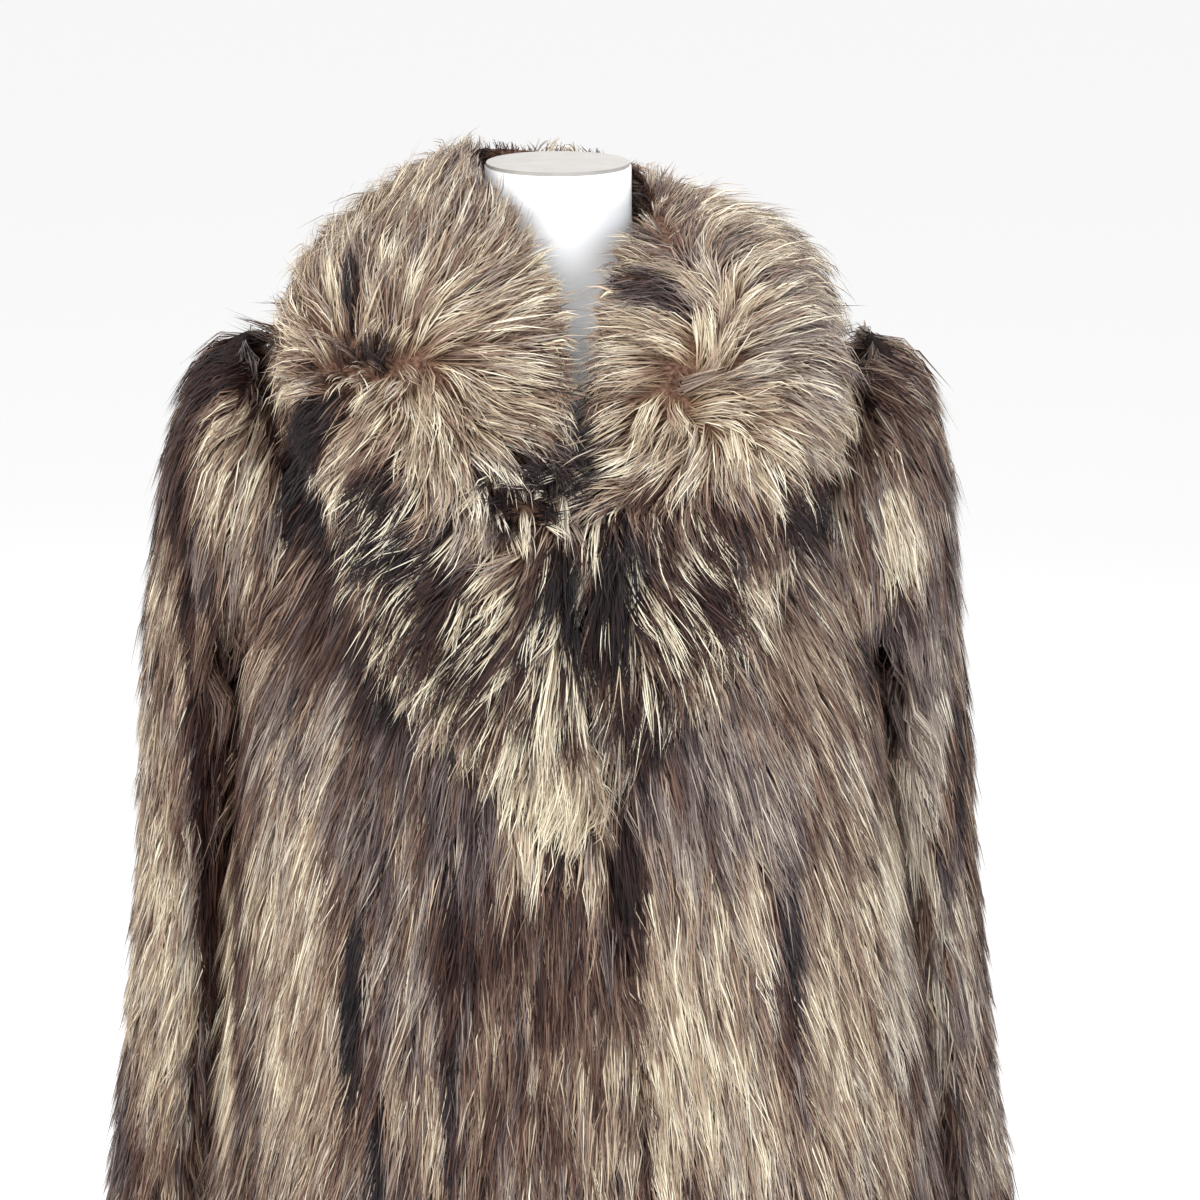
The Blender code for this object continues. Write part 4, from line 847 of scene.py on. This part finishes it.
# A patch: x and z of its middle, half its width and height, the lean of its foot to the right in degrees,
# how cool (0 to 1), tone (0 dark to 1 cream), share of pale tufts, strength
# some patches are painted shade or shadow in gaps, at closings and under overhangs, not the fur's own colour
furs = {
    "furFrontLeft": dict(bodyFur, node="front_left", seed=11, count=56000, patches=[
        (-0.166, 1.283, 0.043, 0.075, -8, 0, 0, 0, 1),  # dark by the collar, painted shadow between the sleeve cap and the collar
        (-0.211, 1.182, 0.031, 0.071, -12, 0, 0.64, 0, 0.85),  # brown strip
        (-0.163, 1.179, 0.036, 0.053, -12, 0.1, 0.27, 0, 0.85),  # brown strip
        (-0.115, 1.149, 0.036, 0.05, -10, 0.3, 0, 0, 1),  # dark strip
        (-0.172, 1.09, 0.062, 0.062, -5, 0.8, 0.5, 0, 0.8),  # taupe
        (-0.091, 1.071, 0.043, 0.066, 0, 0.7, 0.36, 0, 0.85),  # violet brown
        (-0.264, 1.105, 0.01, 0.107, 0, 1, 0.03, 0, 1),  # gap by the sleeve, painted shade in the gap between the sleeve and the front
        (-0.255, 0.921, 0.017, 0.176, 0, 0, 0.9, 0, 1),  # tan strip
        (-0.24, 0.957, 0.005, 0.192, 0, 0, 0.16, 0, 0.8),  # seam
        (-0.194, 0.913, 0.034, 0.176, 0, 0.1, 0.8, 0, 0.9),  # light strip
        (-0.149, 0.915, 0.007, 0.084, -2, 1, 0.03, 0, 1),  # furrow
        (-0.133, 0.802, 0.007, 0.063, -3, 1, 0.03, 0, 1),  # furrow
        (-0.109, 0.932, 0.027, 0.129, 0, 0.6, 0.55, 0, 0.9),  # taupe strip
        (-0.101, 0.819, 0.025, 0.046, 0, 0.2, 0.66, 0, 0.85),  # taupe strip low
        (-0.077, 0.854, 0.006, 0.077, 0, 0.5, 0.06, 0, 0.9),  # furrow
        (-0.056, 0.976, 0.038, 0.056, 0, 0.1, 0.2, 0, 0.85),  # burgundy patch
        (-0.038, 0.855, 0.033, 0.085, 0, 0, 0.42, 0, 0.8),  # brown strip
        (-0.006, 1.051, 0.045, 0.063, 10, 0, 0.95, 0, 0.9),  # pale streaks
        (-0.062, 1.035, 0.019, 0.052, 0, 0.8, 0.28, 0, 0.7),  # edge of the streaks
        (0.013, 0.977, 0.035, 0.037, 12, 0.2, 0.34, 0, 0.9),  # under the streaks
        (0.009, 0.917, 0.037, 0.045, 8, 0, 0.38, 0, 0.9),  # burgundy low
        (0.024, 0.841, 0.033, 0.069, 5, 0, 0.62, 0, 0.85),  # brown by the lap
        (-0.204, 0.628, 0.027, 0.129, 0, 0.1, 0.76, 0, 0.85),  # low strip
        (-0.157, 0.639, 0.007, 0.121, 0, 1, 0.08, 0, 0.8),  # low furrow
        (-0.1, 0.647, 0.031, 0.129, 0, 0.2, 0.66, 0, 0.85),  # low strip
        (-0.04, 0.65, 0.028, 0.129, 0, 0.1, 0.42, 0, 0.85),  # low strip
        (0.016, 0.652, 0.031, 0.129, 0, 0, 0.66, 0, 0.85),  # low strip
    ]),
    "furFrontRight": dict(bodyFur, node="front_right", seed=21, count=50000, gapShade=0.15, patches=[
        (0.059, 1.116, 0.032, 0.044, 0, 0, 0.12, 0, 1),  # dark under the collar tip, painted shadow of the collar tip
        (0.051, 0.997, 0.014, 0.077, 5, 0, 0.1, 0, 1),  # dark beside the closing, painted shadow line where the left front laps over
        (0.102, 1.092, 0.039, 0.07, -4, 0.9, 0.5, 0, 0.85),  # violet brown
        (0.142, 1.182, 0.032, 0.05, -10, 0.2, 0.5, 0, 0.9),  # brown by the collar
        (0.21, 1.278, 0.041, 0.074, 10, 0.2, 0, 0, 1),  # dark by the collar, painted shadow between the sleeve cap and the collar
        (0.175, 1.148, 0.027, 0.055, 8, 0, 0.66, 0, 0.9),  # tan strip
        (0.206, 1.191, 0.022, 0.042, 10, 0.2, 0.5, 0, 0.8),  # dark strip
        (0.227, 1.161, 0.007, 0.036, 0, 1, 0, 0, 1),  # slit
        (0.154, 1.065, 0.033, 0.058, 0, 0.9, 0.58, 0, 0.85),  # violet strip
        (0.103, 0.974, 0.036, 0.056, -3, 0.3, 0.76, 0, 0.85),  # streaks
        (0.136, 0.947, 0.022, 0.07, 0, 0.1, 0.8, 0, 0.85),  # light strip
        (0.082, 0.862, 0.033, 0.092, 0, 0, 0.86, 0, 0.9),  # cream strip
        (0.134, 0.828, 0.037, 0.069, 0, 0.1, 0.86, 0, 0.9),  # cream strip
        (0.172, 0.952, 0.005, 0.074, 3, 1, 0.1, 0, 0.85),  # furrow
        (0.205, 1.053, 0.025, 0.08, 6, 0.2, 0.72, 0, 0.85),  # pink strip
        (0.21, 0.888, 0.029, 0.111, 0, 0, 0.78, 0, 0.95),  # pink strip
        (0.241, 0.791, 0.02, 0.047, 5, 0, 0.8, 0, 0.8),  # pink low
        (0.09, 0.641, 0.035, 0.121, 0, 0.1, 0.8, 0, 0.85),  # low strip
        (0.139, 0.63, 0.023, 0.121, 0, 0.5, 0.66, 0, 0.85),  # low strip
        (0.18, 0.624, 0.007, 0.122, 0, 1, 0.1, 0, 0.8),  # low furrow
        (0.22, 0.624, 0.031, 0.121, 0, 0.1, 0.7, 0, 0.85),  # low strip
        (0.273, 0.605, 0.024, 0.12, 0, 0.6, 0.58, 0, 0.85),  # low strip
        (0.252, 0.991, 0.017, 0.062, 0, 0.5, 0.9, 0, 0.95),  # cream strip
        (0.255, 0.889, 0.015, 0.056, 0, 1, 0.74, 0, 0.9),  # grey patch
        (0.285, 0.852, 0.006, 0.146, -8, 1, 0.5, 0, 0.8),  # gap by the sleeve, painted shade in the gap between the front and the sleeve
    ]),
    "furBack": dict(
        bodyFur, node="back", seed=31, count=36000, behind=1.0, coarser=1.0, width=0.0026, patches=[],
    ),
    "furSleeveLeft": dict(sleeveFur, node="sleeve_left", seed=41, count=32000, patches=[
        (-0.227, 1.373, 0.046, 0.025, 0, 0, 0.24, 0, 1),  # shoulder cap
        (-0.25, 1.337, 0.033, 0.038, 0, 0, 0.08, 0, 0.9),  # below the cap
        (-0.2, 1.32, 0.022, 0.044, 0, 0, 0.02, 0, 1),  # inside the cap, painted shade between the sleeve cap and the collar
        (-0.277, 1.277, 0.016, 0.062, 0, 0.2, 0.3, 0, 0.9),  # upper arm
        (-0.237, 1.29, 0.025, 0.051, -6, 0, 0.8, 0, 0.85),  # pale patch
        (-0.221, 1.203, 0.016, 0.041, 0, 0, 0.52, 0, 0.8),  # under the patch
        (-0.291, 1.16, 0.02, 0.048, 0, 0, 0.78, 0, 0.95),  # brown elbow
        (-0.306, 1.021, 0.031, 0.09, 0, 0.15, 0.7, 0, 0.9),  # forearm
        (-0.319, 0.871, 0.036, 0.107, 0, 0.15, 0.8, 0, 0.9),  # forearm
        (-0.272, 1.026, 0.007, 0.217, 0, 0, 0.16, 0, 0.9),  # inner edge, painted shade in the gap between the sleeve and the front
        (-0.354, 0.724, 0.025, 0.044, 0, 0.8, 0.4, 0, 0.8),  # wrist
    ]),
    "furSleeveRight": dict(sleeveFur, node="sleeve_right", seed=51, count=31000, gapShade=0.15, patches=[
        (0.239, 1.356, 0.035, 0.021, 0, 0, 0.66, 0, 1),  # shoulder cap
        (0.245, 1.32, 0.029, 0.036, 0, 0.1, 0.38, 0, 0.9),  # below the cap
        (0.278, 1.301, 0.019, 0.04, 0, 0.4, 0.5, 0, 0.85),  # outer cap
        (0.249, 1.234, 0.022, 0.043, 4, 0.3, 0.95, 0, 0.9),  # pale patch
        (0.29, 1.186, 0.017, 0.072, 0, 0.9, 0.54, 0, 0.9),  # upper arm
        (0.254, 1.154, 0.018, 0.04, 0, 0.9, 0.24, 0, 0.9),  # under the patch
        (0.277, 1.086, 0.023, 0.076, 6, 1, 0.72, 0, 0.9),  # grey strip
        (0.323, 1.004, 0.011, 0.119, 3, 0, 0.46, 0, 0.95),  # outer strip
        (0.307, 1.018, 0.004, 0.074, 3, 1, 0.14, 0, 1),  # slit
        (0.267, 0.981, 0.017, 0.08, 4, 0.8, 0.9, 0, 0.95),  # inner grey
        (0.306, 0.845, 0.029, 0.111, 6, 0.6, 0.7, 0, 0.9),  # forearm
        (0.34, 0.726, 0.025, 0.075, 6, 0.6, 0.55, 0, 0.9),  # wrist
    ]),
    "furCollarLeft": dict(collarFur, node="collar_left", seed=61, count=35000, patches=[
        (-0.063, 1.49, 0.031, 0.032, 0, 0.6, 0.58, 0, 0.9),  # top, grey brown
        (-0.111, 1.457, 0.036, 0.023, 0, 0.4, 0.66, 0, 0.7),  # crown
        (-0.144, 1.428, 0.006, 0.017, -6, 1, 0.02, 0, 1),  # dark slit
        (-0.088, 1.422, 0.049, 0.024, 0, 0.1, 0.75, 0, 0.8),  # cream
        (-0.04, 1.42, 0.028, 0.03, 0, 0.2, 0.74, 0, 0.8),  # cream by the neck
        (-0.132, 1.392, 0.029, 0.009, 0, 1, 0.1, 0, 0.9),  # dark parting
        (-0.06, 1.394, 0.024, 0.011, 10, 0, 0.76, 0, 0.8),  # brown parting
        (-0.159, 1.368, 0.021, 0.035, 0, 0.1, 0.74, 0, 0.8),  # outer edge
        (-0.175, 1.403, 0.016, 0.026, 0, 0, 0.6, 0, 0.8),  # outer brown
        (-0.086, 1.344, 0.046, 0.037, 0, 0.1, 0.76, 0, 0.85),  # cream fall
        (-0.173, 1.33, 0.017, 0.039, -22, 0, 0.02, 0, 1),  # dark under the lobe, painted shade under the lobe's overhang
        (-0.125, 1.293, 0.025, 0.02, -30, 0, 0.04, 0.15, 1),  # dark under the lobe, painted shade under the lobe's overhang, with a few pale tufts
        (-0.025, 1.347, 0.024, 0.036, 0, 0.1, 0.72, 0, 0.7),  # fall by the lap
        (-0.008, 1.369, 0.014, 0.018, 0, 0, 0.66, 0, 0.6),  # brown by the lap
        (-0.024, 1.299, 0.036, 0.029, 0, 1, 0.1, 0.28, 1),  # dark knot
        (0.012, 1.296, 0.018, 0.017, 0, 1, 0.14, 0.08, 0.9),  # grey tuft
        (0.011, 1.331, 0.006, 0.048, 5, 1, 0.06, 0, 0.9),  # closing, painted shade line where the collar's halves lap
        (-0.112, 1.25, 0.049, 0.037, -20, 0.5, 0.07, 0.22, 1),  # dark, pale tufts
        (-0.073, 1.199, 0.059, 0.055, -20, 0, 0.18, 0.2, 1),  # brown, pale tufts
        (0.003, 1.209, 0.038, 0.061, 0, 0.3, 0.04, 0.1, 1),  # dark, pale tufts
        (-0.025, 1.139, 0.053, 0.039, 0, 0, 0.28, 0.35, 1),  # tip, pale tufts
        (-0.015, 1.065, 0.044, 0.034, 8, 0, 0.95, 0, 1),  # pale streaks at the tip
    ]),
    "furCollarRight": dict(collarFur, node="collar_right", seed=71, count=34000, patches=[
        (0.075, 1.463, 0.026, 0.015, 0, 0.5, 0.62, 0, 0.8),  # top
        (0.102, 1.448, 0.043, 0.014, 0, 0.5, 0.58, 0, 0.8),  # crown
        (0.07, 1.42, 0.027, 0.011, -15, 1, 0.12, 0, 0.9),  # dark by the neck
        (0.169, 1.431, 0.026, 0.01, 30, 1, 0.48, 0, 0.6),  # dark edge
        (0.129, 1.416, 0.042, 0.017, 0, 0.2, 0.8, 0, 0.8),  # cream
        (0.059, 1.383, 0.028, 0.022, 0, 0.1, 0.82, 0, 0.8),  # cream by the neck
        (0.177, 1.38, 0.029, 0.038, 0, 1, 0.66, 0, 0.9),  # grey side
        (0.101, 1.392, 0.031, 0.011, 0, 0, 0.84, 0, 0.8),  # brown parting
        (0.103, 1.344, 0.035, 0.036, 0, 0, 0.82, 0, 0.8),  # bare brown
        (0.148, 1.337, 0.035, 0.034, 0, 0.1, 0.8, 0, 0.8),  # cream fall
        (0.045, 1.334, 0.025, 0.035, 0, 0.1, 0.86, 0, 0.8),  # cream by the lap
        (0.072, 1.296, 0.034, 0.017, 0, 0, 0.42, 0.35, 0.9),  # curls
        (0.175, 1.272, 0.024, 0.025, 0, 0.2, 0.02, 0.03, 1),  # dark under the lobe, painted shade under the lobe's overhang
        (0.114, 1.266, 0.052, 0.031, 0, 0, 0.32, 0.1, 1),  # brown, few tufts
        (0.094, 1.211, 0.045, 0.052, 0, 0, 0.26, 0.18, 1),  # brown, pale tufts
        (0.043, 1.223, 0.026, 0.063, 0, 0.4, 0.05, 0.18, 1),  # dark by the lap
        (0.059, 1.133, 0.032, 0.037, 0, 0.3, 0.12, 0.22, 1),  # dark tip
        (0.024, 1.321, 0.007, 0.047, 0, 1, 0.02, 0, 1),  # closing, painted shade line where the collar's halves lap
    ]),
}

for furName, settings in furs.items():
    fur = growFur(furName, settings)
    peltName = furName.replace("fur", "pelt")
    pelt = makePelt(peltName, settings["node"], settings["slot"])
print("coat dressed")


# Studio: pale floor, soft light and the camera

studio = {
    "cameraPlace": (0.0309, -2.2, 1.833), "cameraTilt": 73.07, "lens": 89.9, "sensor": 36,
    "sky": (1.0, 1.0, 1.0), "skyStrength": 1.0, "floorSize": 40, "floorTone": 0.93, "aim": (0, 0, 1.1),
}
lights = {
    # x, y, z, size, watts, colour
    "keyLight": ((-1.5, -2.3, 2.9), 1.8, 62, (1.0, 0.98, 0.95)),
    "fillLight": ((1.9, -1.6, 2.1), 1.6, 26, (0.88, 0.94, 1.0)),
    "backLight": ((0.4, 2.2, 2.8), 1.8, 30, (1.0, 1.0, 1.0)),
}

bpy.ops.object.select_all(action="DESELECT")
bpy.ops.mesh.primitive_plane_add(size=studio["floorSize"], location=(0, 0, 0))
floor = bpy.context.object
floor.name = "studioFloor"
floorMaterial, _, _, floorSurface = newMaterial("pale floor")
floorSurface.inputs["Base Color"].default_value = (studio["floorTone"],) * 3 + (1,)
floorSurface.inputs["Roughness"].default_value = 0.9
floorSurface.inputs["Specular IOR Level"].default_value = 0.0
floor.data.materials.append(floorMaterial)

world = bpy.data.worlds.new("soft sky")
scene.world = world
world.use_nodes = True
sky = world.node_tree.nodes["Background"]
sky.inputs["Color"].default_value = (*studio["sky"], 1)
sky.inputs["Strength"].default_value = studio["skyStrength"]

for lightName, (place, size, watts, colour) in lights.items():
    lamp = bpy.data.lights.new(lightName, "AREA")
    lamp.size, lamp.energy, lamp.color = size, watts, colour
    holder = placed(lightName, lamp)
    holder.location = place
    direction = Vector(studio["aim"]) - Vector(place)
    holder.rotation_euler = direction.to_track_quat("-Z", "Y").to_euler()

camera = placed("studioCamera", bpy.data.cameras.new("studioCamera"))
camera.data.lens = studio["lens"]
camera.data.sensor_width = studio["sensor"]
camera.location = studio["cameraPlace"]
camera.rotation_euler = (math.radians(studio["cameraTilt"]), 0, 0)
scene.camera = camera
scene.view_settings.view_transform = "Standard"
